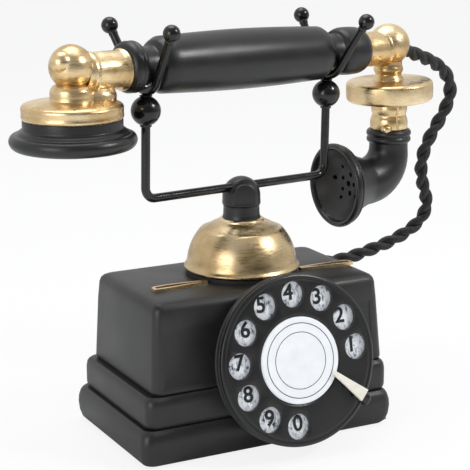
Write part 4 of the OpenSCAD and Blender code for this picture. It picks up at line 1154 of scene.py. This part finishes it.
def build_world():
    """White to the camera; soft and even for diffuse light; shaded by direction in gloss."""
    world = bpy.data.worlds.new("tent")
    bpy.context.scene.world = world
    world.use_nodes = True
    tree = world.node_tree
    nodes, links = tree.nodes, tree.links
    plain = nodes["Background"]
    plain.inputs["Color"].default_value = (0.95, 0.97, 1, 1)
    plain.inputs["Strength"].default_value = 0.55
    where = nodes.new("ShaderNodeTexCoord").outputs["Generated"]
    parts = nodes.new("ShaderNodeSeparateXYZ")
    links.new(where, parts.inputs["Vector"])
    depth = nodes.new("ShaderNodeMapRange")
    for name, value in (("From Min", -0.9), ("From Max", 0.1), ("To Min", 0.25), ("To Max", 1)):
        depth.inputs[name].default_value = value
    links.new(parts.outputs["Y"], depth.inputs["Value"])
    tent = nodes.new("ShaderNodeBackground")
    links.new(depth.outputs["Result"], tent.inputs["Strength"])
    white = nodes.new("ShaderNodeBackground")
    white.inputs["Color"].default_value = (1, 1, 1, 1)
    path = nodes.new("ShaderNodeLightPath")
    gloss = nodes.new("ShaderNodeMath")
    gloss.operation = "MAXIMUM"
    links.new(path.outputs["Is Glossy Ray"], gloss.inputs[0])
    links.new(path.outputs["Is Transmission Ray"], gloss.inputs[1])
    surface = blended(tree, gloss.outputs[0], plain.outputs[0], tent.outputs[0])
    surface = blended(tree, path.outputs["Is Camera Ray"], surface, white.outputs[0])
    links.new(surface, nodes["World Output"].inputs["Surface"])
    print("world:", world.name, "with", len(nodes), "nodes")


build_world()

# %% [markdown]
# ## Lamps
# Three soft boxes stand round the telephone: a small bright key at the right for the
# highlights, a broad fill at the left for the case's side, and one above for the top.

# %% Lamps


def lamp(name, where, size, power):
    """A square softbox that points at the middle of the telephone; where is in metres."""
    place_at = Vector(where)
    aim_at = Vector((0, 0, 0.1)) - place_at
    light = start(name, bpy.ops.object.light_add, type="AREA", location=place_at,
                  rotation=aim_at.to_track_quat("-Z", "Y").to_euler())
    light.data.size = size
    light.data.energy = power
    print("lamp:", name, power, "W")


lamp("key_right", (0.62, -0.55, 0.75), 0.22, 4.2)
lamp("fill_left", (-0.85, -0.45, 0.35), 0.5, 2.6)
lamp("top", (0, 0.15, 0.9), 0.6, 3.2)

# %% [markdown]
# ## The floor
# The telephone stands on white, and only its shadow should tell where the floor is. So
# the floor is one large white plane with a glow that the camera alone sees. More light
# would whiten the floor too, but it would bleach the telephone with it.

# %% Floor


def build_floor():
    """A white floor that keeps the telephone's soft shadow and fades into the world."""
    floor = start("floor", bpy.ops.mesh.primitive_plane_add, size=6)
    material = finish("floor_white", (0.9, 0.9, 0.9), 0.9, Specular_IOR_Level=0)
    tree = material.node_tree
    glow = tree.nodes.new("ShaderNodeEmission")
    glow.inputs["Strength"].default_value = 1
    path = tree.nodes.new("ShaderNodeLightPath")
    share = tree.nodes.new("ShaderNodeMath")
    share.operation = "MULTIPLY"
    share.inputs[1].default_value = 0.85
    tree.links.new(path.outputs["Is Camera Ray"], share.inputs[0])
    surface = blended(tree, share.outputs[0], shader_of(material).outputs[0], glow.outputs[0])
    tree.links.new(surface, tree.nodes["Material Output"].inputs["Surface"])
    floor.data.materials.append(material)
    print("floor:", material.name)


build_floor()
bpy.context.scene.view_settings.view_transform = "Standard"
